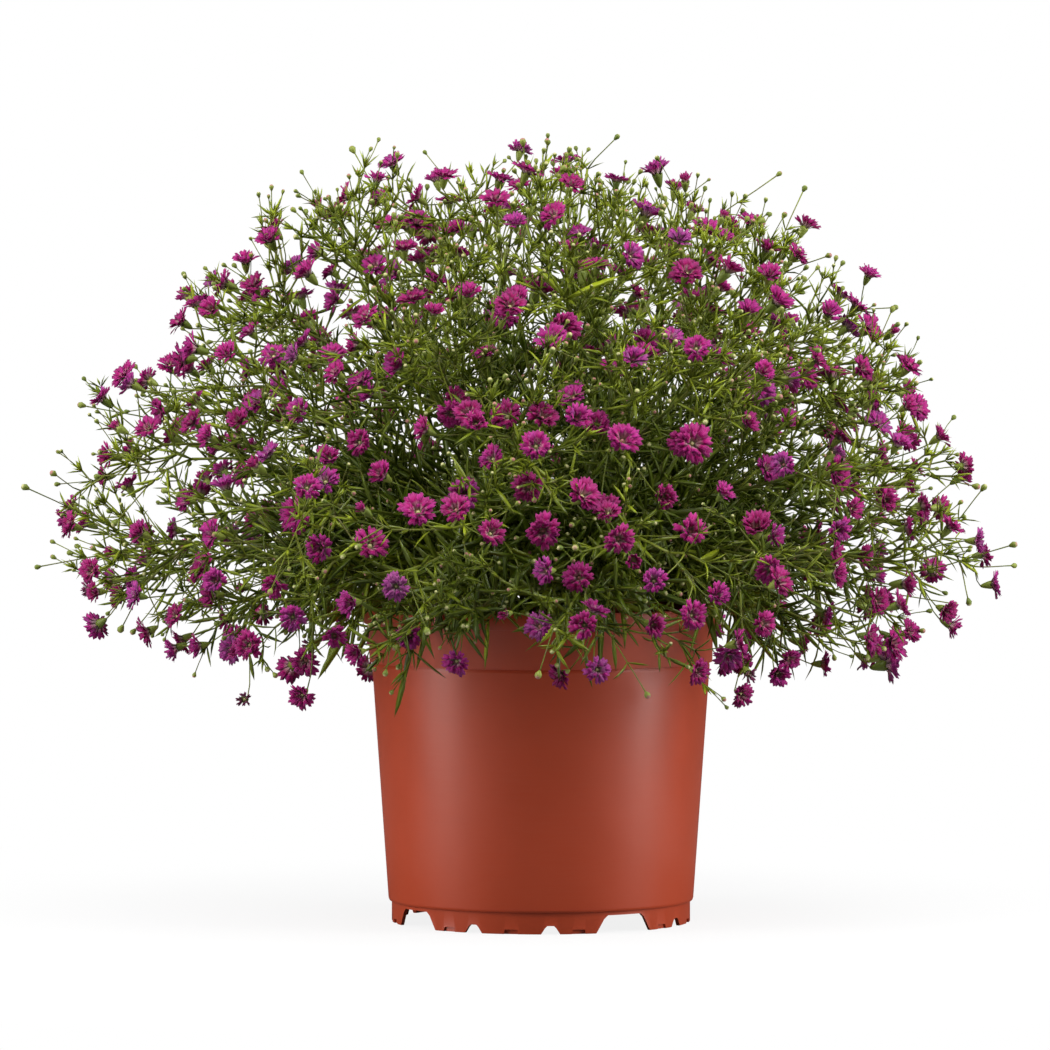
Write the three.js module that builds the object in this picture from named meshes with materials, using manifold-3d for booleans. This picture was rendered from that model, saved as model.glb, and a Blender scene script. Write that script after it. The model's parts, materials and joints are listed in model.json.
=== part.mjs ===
// A potted gypsophila: a dome of thin forking stems, narrow leaves and small double blooms
// over a terracotta-coloured plastic nursery pot. Millimetres, +Z up, the pot's axis on Z,
// its foot on z = 0 and its front towards -Y.

import * as THREE from "three";
import { mergeVertices } from "three/addons/utils/BufferGeometryUtils.js";
import Module from "manifold-3d";

const wasm = await Module();
wasm.setup();

// Pot
const LIP_RADIUS = 60;
const LIP_TOP = 106.6;
const LIP_BOTTOM = 101;
const BAND_RADIUS = 58.3;
const BAND_BOTTOM_RADIUS = 58.1;
const BAND_BOTTOM = 88;
const BODY_TOP_RADIUS = 57.2;
const BODY_BOTTOM_RADIUS = 51.7;
const BODY_BOTTOM = 8;
const SEAM_RADIUS = 51.4;
const SEAM_HEIGHT = 7.2;
const FOOT_RADIUS = 50.6;
const FOOT_WALL = 1.3;
const WALL = 1;
const PLATE_TOP = 8.8;
const PLATE_BOTTOM = 7.6;
const POT_SIDES = 40;

// Openings in the foot, every 30 degrees from FIRST_CUT, each third one large
const CUTS = 12;
const FIRST_CUT = 3.5;
const LARGE_CUT = { bottom: 10.8, shoulder: 8, top: 6.6, height: 5.9, shoulderHeight: 4.7 };
const SMALL_CUT = { bottom: 3.2, shoulder: 1.9, top: 1.1, height: 2.8, shoulderHeight: 2 };

// Drain holes in the raised plate
const DRAINS = 6;
const DRAIN_RADIUS = 4;
const DRAIN_CIRCLE = 34;

// Soil
const SOIL_TOP = 97;
const SOIL_GAP = 0.5;
const SOIL_SIDES = 20;
const ROOT_DEPTH = 12;
const HOLE_GAP = 0.3;

// Plant
const SEED = 42;
const SPRAYS = 30;
const CROWN_RADIUS = 33;
const COLLAR_HEIGHT = 3;
const BLOOMS = 585;
const BUDS = 65;
const DOME_CENTRE = new THREE.Vector3(-1, 0, SOIL_TOP);
const DOME_REACH = 168;
const LOWEST_SLOPE = -0.16;
const MOST_REACH = 165;
const BLOOM_RADIUS = 4.9;
const CALYX_LENGTH = 4.2;
const BUD_LENGTH = 3.2;
const BUD_RADIUS = 1.3;
const PEDICEL_RADIUS = 0.42;
const CLEAR = 0.35;
const PETALS = 3;
const NOTCH_RADIUS = 3.7;
const NOTCH_DEPTH = 0.7;
const HEART_HEIGHT = 5.4;
const LEAF_THICKNESS = 0.7;
const LEAF_LENGTH = 9;
const LEAF_GAIN = 22;
const ARM_LEAVES = 0.12;
const STALK_LEAVES = 0.06;

// How the stems grow
const THICKENING = 0.15;
const SHOULDER = { out: 0.22, in: 0.6, height: 27, rise: 0.25 };
const FORK_SETBACK = 1.45;
const LAST_STRETCH = 9;
const SHORTEST_STRETCH = 7;
const MOMENTUM = 0.12;
const STRAY = 10;
const ARM_PULL = 8;
const FORK_RISE = 0.7;
const LEAF_RISE = 0.4;

// How the tips are spread: successive powers of this ratio fill a cube evenly
const EVEN_SPREAD = 1.2207440846;
const UPWARD_BIAS = 0.76;
const OUTWARD_BIAS = 0.42;
const FACING_STRAY = 0.7;
const INNERMOST_BLOOM = 0.6;
const OUTERMOST_BLOOM = 0.985;
const INNERMOST_BUD = 0.93;
const OUTERMOST_BUD = 1.03;

// Tips with a place of their own, out of the dome's outline, over the rim or well to the
// front: x, y, z of each
const OUTER_BUDS = [
  [-170, -70, 149], [-169, -40, 121], [167, 66, 118], [154, 40, 147], [154, 60, 127],
  [-51, -10, 268], [-12, -20, 266], [27, 10, 267], [-65, 20, 263], [82, 0, 254],
  [89, -20, 249], [122, 10, 208], [-85, 0, 242], [-157, 0, 175], [-163, -40, 153],
  [-141, -30, 99], [-116, -50, 84], [0, 168, 128], [10, -167, 132], [60, 158, 140],
];
const OUTER_BLOOMS = [
  [-148, -40, 113], [-77, -75, 92], [-102, -60, 95], [-114, -40, 95], [157, 50, 112],
  [139, 0, 100], [114, -30, 88], [66, -60, 80], [82, -50, 91], [73, -60, 103],
  [-18, -75, 89], [6, -72, 87], [-43, -72, 100], [2, -76, 104], [96, 10, 239],
  [111, 0, 219], [-50, 0, 256], [-7, 30, 262], [-147, -20, 177], [-156, -40, 135],
  [40, 74, 88], [-30, 78, 92], [90, 50, 92], [-80, 60, 90],
  [-39, -143, 142], [-16, -150, 136], [1, -150, 124], [-34, -137, 160], [-2, -140, 163],
  [-46, -146, 119], [24, -148, 134], [12, -146, 147], [35, -148, 121], [47, -146, 110],
  [15, -140, 108], [-12, -140, 110], [60, -50, 238], [85, -40, 225], [100, -30, 212],
  [75, 0, 238], [48, -30, 250], [-5, -40, 252], [25, -45, 250], [-35, -35, 250],
];

const UP = new THREE.Vector3(0, 0, 1);

// Even numbers from 0 to 1 that are the same in every run.
function seededDraws(seed) {
  let state = seed;
  return () => {
    state = (1664525 * state + 1013904223) % 4294967296;
    return state / 4294967296;
  };
}

const draw = seededDraws(SEED);

function nudge(size) {
  const x = draw() - 0.5;
  const y = draw() - 0.5;
  const z = draw() - 0.5;
  return new THREE.Vector3(x, y, z).multiplyScalar(2 * size);
}

function solidOf(geometry) {
  const bare = geometry.clone();
  bare.deleteAttribute("normal");
  bare.deleteAttribute("uv");
  const merged = mergeVertices(bare, 1e-4);
  return new wasm.Manifold(new wasm.Mesh({
    numProp: 3,
    vertProperties: merged.attributes.position.array,
    triVerts: new Uint32Array(merged.index.array),
  }));
}

function geometryOf(solid) {
  const mesh = solid.getMesh();
  const geometry = new THREE.BufferGeometry();
  geometry.setAttribute("position", new THREE.BufferAttribute(mesh.vertProperties, 3));
  geometry.setIndex(new THREE.BufferAttribute(mesh.triVerts, 1));
  geometry.computeVertexNormals();
  return geometry;
}

function lathe(profile, sides) {
  const points = profile.map(([radius, height]) => new THREE.Vector2(radius, height));
  return new THREE.LatheGeometry(points, sides).rotateX(Math.PI / 2);
}

// A cut through the foot, wide at the floor and narrower above, at an angle from the front.
function footCut(size, degrees) {
  const outline = new THREE.Shape();
  outline.moveTo(-size.bottom, -1);
  outline.lineTo(size.bottom, -1);
  outline.lineTo(size.bottom, 0);
  outline.lineTo(size.shoulder, size.shoulderHeight);
  outline.lineTo(size.top, size.height);
  outline.lineTo(-size.top, size.height);
  outline.lineTo(-size.shoulder, size.shoulderHeight);
  outline.lineTo(-size.bottom, 0);
  const depth = FOOT_RADIUS / 3;
  return new THREE.ExtrudeGeometry(outline, { depth, bevelEnabled: false })
    .rotateX(Math.PI / 2)
    .translate(0, -FOOT_RADIUS + depth - 1, 0)
    .rotateZ(THREE.MathUtils.degToRad(degrees));
}

function potGeometry() {
  const footInside = FOOT_RADIUS - FOOT_WALL;
  const outside = [
    [0, PLATE_BOTTOM],
    [footInside, PLATE_BOTTOM],
    [footInside, 0],
    [FOOT_RADIUS, 0],
    [FOOT_RADIUS, SEAM_HEIGHT],
    [SEAM_RADIUS, SEAM_HEIGHT],
    [BODY_BOTTOM_RADIUS, BODY_BOTTOM],
    [BODY_TOP_RADIUS, BAND_BOTTOM],
    [BAND_BOTTOM_RADIUS, BAND_BOTTOM],
    [BAND_RADIUS, LIP_BOTTOM],
    [LIP_RADIUS, LIP_BOTTOM],
    [LIP_RADIUS, LIP_TOP],
  ];
  const inside = [
    [BAND_RADIUS - WALL, LIP_TOP],
    [BAND_BOTTOM_RADIUS - WALL, BAND_BOTTOM + WALL],
    [BODY_TOP_RADIUS - WALL, BAND_BOTTOM - WALL],
    [BODY_BOTTOM_RADIUS - WALL, PLATE_TOP],
    [0, PLATE_TOP],
  ];
  let pot = solidOf(lathe([...outside, ...inside], POT_SIDES));
  for (let i = 0; i < CUTS; i++) {
    const size = i % 3 === 1 ? LARGE_CUT : SMALL_CUT;
    pot = pot.subtract(solidOf(footCut(size, FIRST_CUT + (360 / CUTS) * i)));
  }
  for (let i = 0; i < DRAINS; i++) {
    const angle = (2 * Math.PI * i) / DRAINS;
    const drain = new THREE.CylinderGeometry(DRAIN_RADIUS, DRAIN_RADIUS, 4, 8)
      .rotateX(Math.PI / 2)
      .translate(DRAIN_CIRCLE * Math.cos(angle), DRAIN_CIRCLE * Math.sin(angle), PLATE_TOP);
    pot = pot.subtract(solidOf(drain));
  }
  return geometryOf(pot);
}

// Three points round a centre, square to a direction, the first one on the side of lead.
function triangleRound(centre, direction, lead, radius) {
  const along = direction.clone().normalize();
  const u = lead.clone().addScaledVector(along, -lead.dot(along)).normalize();
  const v = new THREE.Vector3().crossVectors(along, u);
  return [0, 1, 2].map((i) => {
    const angle = (2 * Math.PI * i) / 3;
    return centre.clone()
      .addScaledVector(u, radius * Math.cos(angle))
      .addScaledVector(v, radius * Math.sin(angle));
  });
}

// Where each stem leaves the crown, in the order of a sunflower's seeds.
function crownPlace(i) {
  const angle = i * Math.PI * (3 - Math.sqrt(5));
  const radius = CROWN_RADIUS * Math.sqrt((i + 0.5) / SPRAYS);
  return new THREE.Vector3(radius * Math.cos(angle), radius * Math.sin(angle), SOIL_TOP);
}

function stemRadius(tips) {
  return PEDICEL_RADIUS + THICKENING * Math.sqrt(tips - 1);
}

// The soil fills the pot and has a plain hole for each stem.
function soilGeometry(sprays) {
  const profile = [
    [0, PLATE_TOP + SOIL_GAP],
    [BODY_BOTTOM_RADIUS - WALL - SOIL_GAP, PLATE_TOP + SOIL_GAP],
    [BODY_TOP_RADIUS - WALL - SOIL_GAP, BAND_BOTTOM - WALL],
    [BAND_BOTTOM_RADIUS - WALL - SOIL_GAP, BAND_BOTTOM + WALL],
    [BAND_BOTTOM_RADIUS - WALL - SOIL_GAP, SOIL_TOP],
    [0, SOIL_TOP],
  ];
  let soil = solidOf(lathe(profile, SOIL_SIDES));
  for (const spray of sprays) {
    const outline = triangleRound(
      new THREE.Vector3(0, 0, 0), UP, spray.lead, spray.radius + 2 * HOLE_GAP);
    const shape = new THREE.Shape(outline.map((p) => new THREE.Vector2(p.x, p.y)));
    const depth = ROOT_DEPTH + HOLE_GAP + 1;
    const hole = new THREE.ExtrudeGeometry(shape, { depth, bevelEnabled: false })
      .translate(spray.at.x, spray.at.y, SOIL_TOP + 1 - depth);
    soil = soil.subtract(solidOf(hole));
  }
  return geometryOf(soil);
}

// How far the dome reaches in a direction: about a hemisphere, drawn in below the rim and
// leaning a little to the left.
function domeReach(slope, azimuth) {
  const degrees = THREE.MathUtils.radToDeg(Math.asin(slope));
  const drawnIn = 1 - 0.55 * Math.max(0, (8 - degrees) / 32);
  const lean = -0.03 * Math.cos(azimuth);
  const swell = 0.015 * Math.sin(3 * azimuth + 4) + 0.02 * Math.sin(5 * azimuth - 4 * slope);
  return DOME_REACH * drawnIn * (1 + lean + swell);
}

// Pushes a bloom that would touch the rim or hang inside the pot out in front of its wall.
function keepOffPot(point, room) {
  const flat = Math.hypot(point.x, point.y);
  const least = LIP_RADIUS + room;
  if (point.z < LIP_TOP + room && flat < least) {
    point.x *= least / flat;
    point.y *= least / flat;
  }
  return point;
}

function tipAt(point, kind) {
  const outward = point.clone().sub(DOME_CENTRE).normalize();
  const facing = outward.addScaledVector(UP, 0.3).add(nudge(FACING_STRAY)).normalize();
  return { point, kind, facing };
}

// Every bloom and bud: those of the outline first, then the rest spread evenly in the dome.
function scatterTips() {
  const tips = [];
  OUTER_BUDS.forEach((place) => tips.push(tipAt(new THREE.Vector3(...place), "bud")));
  OUTER_BLOOMS.forEach((place) => tips.push(tipAt(new THREE.Vector3(...place), "bloom")));
  for (let k = 1; k <= BLOOMS + BUDS; k++) {
    const [a, b, c] = [1, 2, 3].map((power) => (0.5 + k / EVEN_SPREAD ** power) % 1);
    const kind = k % Math.round(1 + BLOOMS / BUDS) === 0 ? "bud" : "bloom";
    const azimuth = 2 * Math.PI * a;
    const slope = LOWEST_SLOPE + (0.995 - LOWEST_SLOPE) * b ** UPWARD_BIAS;
    const share = kind === "bud"
      ? THREE.MathUtils.lerp(INNERMOST_BUD, OUTERMOST_BUD, c)
      : THREE.MathUtils.lerp(INNERMOST_BLOOM, OUTERMOST_BLOOM, c ** OUTWARD_BIAS);
    const reach = share * domeReach(slope, azimuth);
    const level = Math.sqrt(1 - slope * slope);
    const point = new THREE.Vector3(level * Math.cos(azimuth), level * Math.sin(azimuth), slope)
      .multiplyScalar(reach)
      .add(nudge(6))
      .clampLength(0, MOST_REACH)
      .add(DOME_CENTRE);
    keepOffPot(point, BLOOM_RADIUS + 3);
    const tip = tipAt(point, kind);
    const near = tips.some((other) => other.point.distanceTo(point) < 2 * BLOOM_RADIUS + 0.7);
    if (!near) tips.push(tip);
  }
  return tips;
}

// The direction that each spray fills, from upright to just below level.
function sprayDirection(i) {
  const slope = 1 - (1 - LOWEST_SLOPE) * ((i + 0.5) / SPRAYS);
  const angle = i * Math.PI * (3 - Math.sqrt(5));
  const level = Math.sqrt(1 - slope * slope);
  return new THREE.Vector3(level * Math.cos(angle), level * Math.sin(angle), slope);
}

function centroid(points) {
  const sum = new THREE.Vector3();
  points.forEach((point) => sum.add(point));
  return sum.divideScalar(points.length);
}

// The shortest way between two straight stretches.
function gapBetween(a, b, c, d) {
  const u = b.clone().sub(a);
  const v = d.clone().sub(c);
  const w = a.clone().sub(c);
  const uu = Math.max(u.dot(u), 1e-9);
  const vv = Math.max(v.dot(v), 1e-9);
  const uv = u.dot(v);
  const uw = u.dot(w);
  const vw = v.dot(w);
  const clamp = (value) => Math.min(1, Math.max(0, value));
  const flat = Math.max(uu * vv - uv * uv, 1e-9);
  const first = clamp((uv * vw - vv * uw) / flat);
  const t = clamp((uv * first + vw) / vv);
  const s = clamp((uv * t - uw) / uu);
  return a.clone().addScaledVector(u, s).distanceTo(c.clone().addScaledVector(v, t));
}

const taken = [];

function hitsPot(a, b, radius) {
  for (let i = 0; i <= 8; i++) {
    const p = a.clone().lerp(b, i / 8);
    const flat = Math.hypot(p.x, p.y);
    const overRim = flat > LIP_RADIUS - 6 - radius && flat < LIP_RADIUS + 1 + radius;
    if (overRim && p.z < LIP_TOP + 1 + radius) return true;
    if (flat < LIP_RADIUS && p.z < SOIL_TOP + 0.4 + radius) return true;
  }
  return false;
}

// Is a stretch clear of everything placed so far, apart from what it grows from?
function isClear(a, b, radius, parent) {
  if (hitsPot(a, b, radius)) return false;
  return taken.every((other) => {
    if (parent && (other.node === parent || other.parent === parent)) return true;
    const room = radius + other.radius + CLEAR;
    if (a.distanceTo(other.a) > room + a.distanceTo(b) + other.length) return true;
    return gapBetween(a, b, other.a, other.b) >= room;
  });
}

function take(a, b, radius, node, parent) {
  taken.push({ a, b, radius, node, parent, length: a.distanceTo(b) });
}

// Tries a place and then others round it, and gives back the first whose way there is clear.
function findPlace(parent, wish, radius, tries, stray) {
  for (let i = 0; i < tries; i++) {
    const place = wish.clone().add(nudge(stray * (i / tries)));
    if (isClear(parent.at, place, radius, parent)) return place;
  }
  return null;
}

// Hangs one bloom or bud on its own thin stalk.
function growTip(parent, tip) {
  for (let i = 0; i < 14; i++) {
    const point = tip.point.clone().add(nudge(0.9 * i));
    const way = point.clone().sub(parent.at).normalize();
    const bloom = tip.kind === "bloom";
    const axis = bloom ? tip.facing.clone().addScaledVector(way, 0.9).normalize() : way;
    const at = point.clone().addScaledVector(axis, bloom ? -CALYX_LENGTH : -BUD_LENGTH);
    const end = bloom ? point.clone().addScaledVector(axis, -1) : point;
    const room = bloom ? BLOOM_RADIUS : BUD_RADIUS;
    const node = { kind: tip.kind, at, axis, radius: PEDICEL_RADIUS, children: [], leaves: [] };
    const stalkClear = isClear(parent.at, at, PEDICEL_RADIUS, parent);
    if (stalkClear && isClear(end, end, room, null)) {
      take(parent.at, at, PEDICEL_RADIUS, node, parent);
      take(end, end, room, node, null);
      parent.children.push(node);
      return;
    }
  }
}

// The next fork of a stem that serves several tips: short of them all, on the way to their
// middle, and further back the wider they are spread.
function growFork(parent, tips, tasks) {
  const points = tips.map((tip) => tip.point);
  const middle = centroid(points);
  const way = middle.clone().sub(parent.at);
  const distance = way.length();
  way.divideScalar(distance);
  const spread = points.reduce((sum, point) => sum + point.distanceTo(middle), 0) / tips.length;
  const ahead = points.map((point) => point.clone().sub(parent.at).dot(way));
  const nearest = Math.min(...ahead);
  const length = Math.max(
    Math.min(distance - FORK_SETBACK * spread, nearest - LAST_STRETCH), SHORTEST_STRETCH);
  const radius = stemRadius(tips.length);
  const placeAt = (reach) => {
    const wish = parent.at.clone().addScaledVector(way, reach);
    wish.addScaledVector(parent.direction, MOMENTUM * reach);
    return findPlace(parent, wish, radius, 16, STRAY);
  };
  const at = placeAt(length) ?? placeAt(0.6 * length) ?? placeAt(0.5 * (length + distance));
  if (!at) return;
  const direction = at.clone().sub(parent.at).normalize();
  const node = { kind: "fork", at, direction, radius, children: [], leaves: [] };
  take(parent.at, at, radius, node, parent);
  parent.children.push(node);
  tasks.push({ node, tips });
}

// Shares the tips of a fork out: one that is near and ahead has a stalk of its own, the rest
// make two arms.
function shareOut(node, tips, tasks) {
  const effort = (tip) => {
    const way = tip.point.clone().sub(node.at);
    const distance = way.length();
    return distance * (1.6 - way.dot(node.direction) / distance);
  };
  const [own, ...rest] = [...tips].sort((a, b) => effort(a) - effort(b));
  const groups = [[own]];
  if (rest.length) {
    const middle = centroid(rest.map((tip) => tip.point));
    const farFrom = (place) => rest.reduce((best, tip) =>
      (tip.point.distanceTo(place) > best.point.distanceTo(place) ? tip : best));
    const oneEnd = farFrom(middle).point;
    const across = farFrom(oneEnd).point.clone().sub(oneEnd);
    const ordered = [...rest].sort((a, b) => a.point.dot(across) - b.point.dot(across));
    const half = Math.ceil(ordered.length / 2);
    groups.push(ordered.slice(0, half), ordered.slice(half));
  }
  for (const group of groups) {
    if (group.length === 1) growTip(node, group[0]);
    if (group.length > 1) growFork(node, group, tasks);
  }
}

// A main stem from the crown, rising before it leans out, to its first fork.
function growMainStem(spray, tasks) {
  const middle = centroid(spray.tips.map((tip) => tip.point));
  const collar = {
    kind: "collar",
    at: spray.at.clone().setZ(SOIL_TOP + COLLAR_HEIGHT),
    direction: UP.clone(),
    radius: spray.radius,
    children: [],
    leaves: [],
  };
  take(spray.at, collar.at, spray.radius, collar, null);
  const shoulder = new THREE.Vector3(
    SHOULDER.out * middle.x + SHOULDER.in * spray.at.x,
    SHOULDER.out * middle.y + SHOULDER.in * spray.at.y,
    SOIL_TOP + SHOULDER.height + SHOULDER.rise * (middle.z - SOIL_TOP),
  );
  const at = findPlace(collar, shoulder, spray.radius, 30, STRAY);
  if (!at) throw new Error("a main stem has no way out of the crown");
  const direction = at.clone().sub(collar.at).normalize();
  const node = { kind: "joint", at, direction, radius: spray.radius, children: [], leaves: [] };
  take(collar.at, at, spray.radius, node, collar);
  collar.children.push(node);
  spray.collar = collar;
  tasks.push({ node, tips: spray.tips });
}

// The three sides of a fork, a third of a turn apart round a line up the middle of its arms,
// each facing one of the arms as nearly as it can, with the arms taken in their order round
// that line.
function shareSides(node) {
  const wayTo = (child) => child.at.clone().sub(node.at).normalize();
  const pull = ARM_PULL / node.children.length;
  node.facing = node.direction.clone();
  node.children.forEach((child) => node.facing.addScaledVector(wayTo(child), pull));
  node.facing.normalize();
  const level = Math.abs(node.facing.z) < 0.9 ? UP : new THREE.Vector3(1, 0, 0);
  const u = new THREE.Vector3().crossVectors(node.facing, level).normalize();
  const v = new THREE.Vector3().crossVectors(node.facing, u);
  const angleOf = (child) => {
    const way = wayTo(child);
    return Math.atan2(way.dot(v), way.dot(u));
  };
  const third = (2 * Math.PI) / 3;
  node.children.sort((a, b) => angleOf(a) - angleOf(b));
  const wide = node.children.length === 2
    && angleOf(node.children[1]) - angleOf(node.children[0]) > Math.PI;
  if (wide) node.children.reverse();
  const offsets = node.children.map((child, k) => angleOf(child) - third * k);
  const sum = (term) => offsets.reduce((total, angle) => total + term(angle), 0);
  const turn = Math.atan2(sum(Math.sin), sum(Math.cos));
  node.sides = [0, 1, 2].map((k) => u.clone()
    .multiplyScalar(Math.cos(turn + third * k))
    .addScaledVector(v, Math.sin(turn + third * k)));
}

// A leaf under an arm of a fork, longest low on the plant, where there is room for it.
function growLeaves(node) {
  node.children.forEach((child, k) => {
    const share = child.kind === "fork" ? ARM_LEAVES : STALK_LEAVES;
    if (draw() > share) return;
    const arm = child.at.clone().sub(node.at);
    const lean = Math.min(Math.max(arm.angleTo(node.facing) + 0.6, 1), 1.9);
    const length = LEAF_LENGTH + LEAF_GAIN * (node.radius - PEDICEL_RADIUS) + 4 * draw();
    for (let i = 0; i < 4; i++) {
      const way = node.facing.clone()
        .multiplyScalar(Math.cos(lean))
        .addScaledVector(node.sides[k], Math.sin(lean))
        .add(nudge(0.08 + 0.08 * i))
        .normalize();
      const start = node.at.clone().addScaledVector(way, 2);
      const tip = node.at.clone().addScaledVector(way, length);
      if (isClear(start, tip, 1.1, node)) {
        take(start, tip, 1.1, null, node);
        node.leaves.push({ child, way, length });
        return;
      }
    }
  });
}

function growPlant() {
  const sprays = Array.from({ length: SPRAYS }, (_, i) => ({
    at: crownPlace(i),
    direction: sprayDirection(i),
    tips: [],
  }));
  for (const tip of scatterTips()) {
    const way = tip.point.clone().sub(DOME_CENTRE).normalize();
    const fit = (spray) => spray.direction.dot(way);
    sprays.reduce((best, spray) => (fit(spray) > fit(best) ? spray : best)).tips.push(tip);
  }
  const tasks = [];
  for (const spray of sprays) {
    spray.radius = stemRadius(spray.tips.length);
    spray.lead = new THREE.Vector3(spray.at.x, spray.at.y, 0).normalize();
    growMainStem(spray, tasks);
  }
  for (const task of tasks) shareOut(task.node, task.tips, tasks);
  for (const task of tasks) {
    shareSides(task.node);
    growLeaves(task.node);
  }
  return sprays;
}

// A closed surface that grows by replacing one open triangle at a time, so that stem, leaves,
// calyxes and petals are one body.
class Surface {
  constructor() {
    this.points = [];
    this.triangles = [];
  }

  add(point) {
    return this.points.push(point) - 1;
  }

  // Carries an open triangle along to three new points, with the least twist, and gives back
  // the open triangle there. Each side is parted along the diagonal that stands out.
  sweep(face, ring) {
    const middle = centroid(ring);
    const start = this.centre(face);
    const fit = (shift) => face.reduce((sum, corner, i) => {
      const there = ring[(i + shift) % 3].clone().sub(middle).normalize();
      return sum + this.points[corner].clone().sub(start).normalize().dot(there);
    }, 0);
    const shift = [0, 1, 2].reduce((a, b) => (fit(b) > fit(a) ? b : a));
    const way = middle.clone().sub(start);
    const twist = face.reduce((sum, corner, i) => {
      const there = ring[(i + shift) % 3].clone().sub(middle);
      return sum + this.points[corner].clone().sub(start).cross(there).dot(way);
    }, 0);
    const end = ring.map((point) => this.add(point));
    for (let i = 0; i < 3; i++) {
      const j = (i + 1) % 3;
      const side = [face[i], face[j], end[(j + shift) % 3], end[(i + shift) % 3]];
      if (twist > 0) side.push(side.shift());
      this.triangles.push([side[0], side[1], side[2]], [side[0], side[2], side[3]]);
    }
    return end;
  }

  // Raises a point on an open triangle and gives back the three round it.
  split(face, point) {
    const top = this.add(point);
    return [0, 1, 2].map((i) => [face[i], face[(i + 1) % 3], top]);
  }

  close(faces) {
    this.triangles.push(...faces);
  }

  centre(face) {
    return centroid(face.map((i) => this.points[i]));
  }

  normal(face) {
    const [a, b, c] = face.map((i) => this.points[i]);
    return b.clone().sub(a).cross(c.clone().sub(a)).normalize();
  }

  lead(face) {
    return this.points[face[0]].clone().sub(this.centre(face));
  }

  geometry() {
    const position = new Float32Array(this.points.flatMap((p) => [p.x, p.y, p.z]));
    const geometry = new THREE.BufferGeometry();
    geometry.setAttribute("position", new THREE.BufferAttribute(position, 3));
    geometry.setIndex(this.triangles.flat());
    return geometry;
  }
}

// Petals as a toothed dome on the stalk's end: a ring of petal ends and notches round the
// raised middle of a double bloom.
function addBloom(surface, face, node) {
  const along = node.axis;
  const lead = surface.lead(face);
  const u = lead.addScaledVector(along, -lead.dot(along)).normalize();
  const v = new THREE.Vector3().crossVectors(along, u);
  const rim = [];
  for (let i = 0; i < 2 * PETALS; i++) {
    const angle = (Math.PI * i) / PETALS;
    const radius = i % 2 ? NOTCH_RADIUS : BLOOM_RADIUS;
    const height = CALYX_LENGTH - (i % 2 ? NOTCH_DEPTH : 0);
    rim.push(surface.add(node.at.clone()
      .addScaledVector(u, radius * Math.cos(angle))
      .addScaledVector(v, radius * Math.sin(angle))
      .addScaledVector(along, height)));
  }
  let corner = 0;
  for (let i = 0; i < rim.length; i++) {
    const next = rim[(i + 1) % rim.length];
    surface.triangles.push([face[corner % 3], next, rim[i]]);
    if ((i + 1) / rim.length >= (corner + 0.5) / 3 && corner < 3) {
      surface.triangles.push([face[corner % 3], face[(corner + 1) % 3], next]);
      corner += 1;
    }
  }
  const heart = surface.add(node.at.clone().addScaledVector(along, HEART_HEIGHT));
  rim.forEach((point, i) => surface.triangles.push([point, rim[(i + 1) % rim.length], heart]));
}

function addBud(surface, face, node) {
  const widest = node.at.clone().addScaledVector(node.axis, 0.42 * BUD_LENGTH);
  const ring = triangleRound(widest, node.axis, surface.lead(face), BUD_RADIUS);
  const end = surface.sweep(face, ring);
  const tip = node.at.clone().addScaledVector(node.axis, BUD_LENGTH);
  surface.close(surface.split(end, tip));
}

// A stem carries on from an open triangle to its next fork, or to its bloom or bud.
function addStem(surface, face, node, from) {
  if (node.kind === "bloom" || node.kind === "bud") {
    const way = node.at.clone().sub(from).normalize().add(node.axis);
    const end = surface.sweep(face, triangleRound(node.at, way, surface.lead(face), node.radius));
    if (node.kind === "bloom") addBloom(surface, end, node);
    else addBud(surface, end, node);
    return;
  }
  const corners = [1, 2, 0].map((k) =>
    node.at.clone().addScaledVector(node.sides[k], -node.radius));
  const end = surface.sweep(face, corners);
  const apex = node.at.clone().addScaledVector(node.facing, FORK_RISE * node.radius);
  const sides = surface.split(end, apex);
  node.children.forEach((child, k) => {
    let open = sides[k];
    const leaf = node.leaves.find((one) => one.child === child);
    if (leaf) {
      const rise = surface.normal(open).multiplyScalar(LEAF_RISE * node.radius);
      const [below, ...above] = surface.split(open, surface.centre(open).add(rise));
      addLeaf(surface, below, leaf, node);
      const arm = child.at.clone().sub(node.at);
      above.sort((one, other) => surface.normal(other).dot(arm) - surface.normal(one).dot(arm));
      open = above[0];
      surface.close([above[1]]);
    }
    addStem(surface, open, child, node.at);
  });
  surface.close(sides.slice(node.children.length));
}

// A narrow blade with a ridge along it, its upper face to the stem, hanging at its tip.
function addLeaf(surface, face, leaf, node) {
  const side = new THREE.Vector3().crossVectors(leaf.way, node.facing).normalize();
  const above = new THREE.Vector3().crossVectors(side, leaf.way);
  const halfWidth = 0.6 + 0.022 * leaf.length;
  const along = (share) => node.at.clone().addScaledVector(leaf.way, share * leaf.length);
  const middle = along(0.45).addScaledVector(above, 0.04 * leaf.length);
  const end = surface.sweep(face, [
    middle.clone().addScaledVector(above, LEAF_THICKNESS),
    middle.clone().addScaledVector(side, halfWidth),
    middle.clone().addScaledVector(side, -halfWidth),
  ]);
  surface.close(surface.split(end, along(1).addScaledVector(UP, -0.08 * leaf.length)));
}

function sprayGeometry(spray) {
  const surface = new Surface();
  const root = spray.at.clone().setZ(SOIL_TOP - ROOT_DEPTH);
  const base = triangleRound(root, UP, spray.lead, spray.radius).map((p) => surface.add(p));
  surface.close([[...base].reverse()]);
  const collar = triangleRound(spray.collar.at, UP, spray.lead, spray.radius);
  const top = surface.sweep(base, collar);
  addStem(surface, top, spray.collar.children[0], spray.collar.at);
  return surface.geometry();
}

function finish(color, roughness) {
  return new THREE.MeshStandardMaterial({ color, roughness, metalness: 0 });
}

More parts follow.
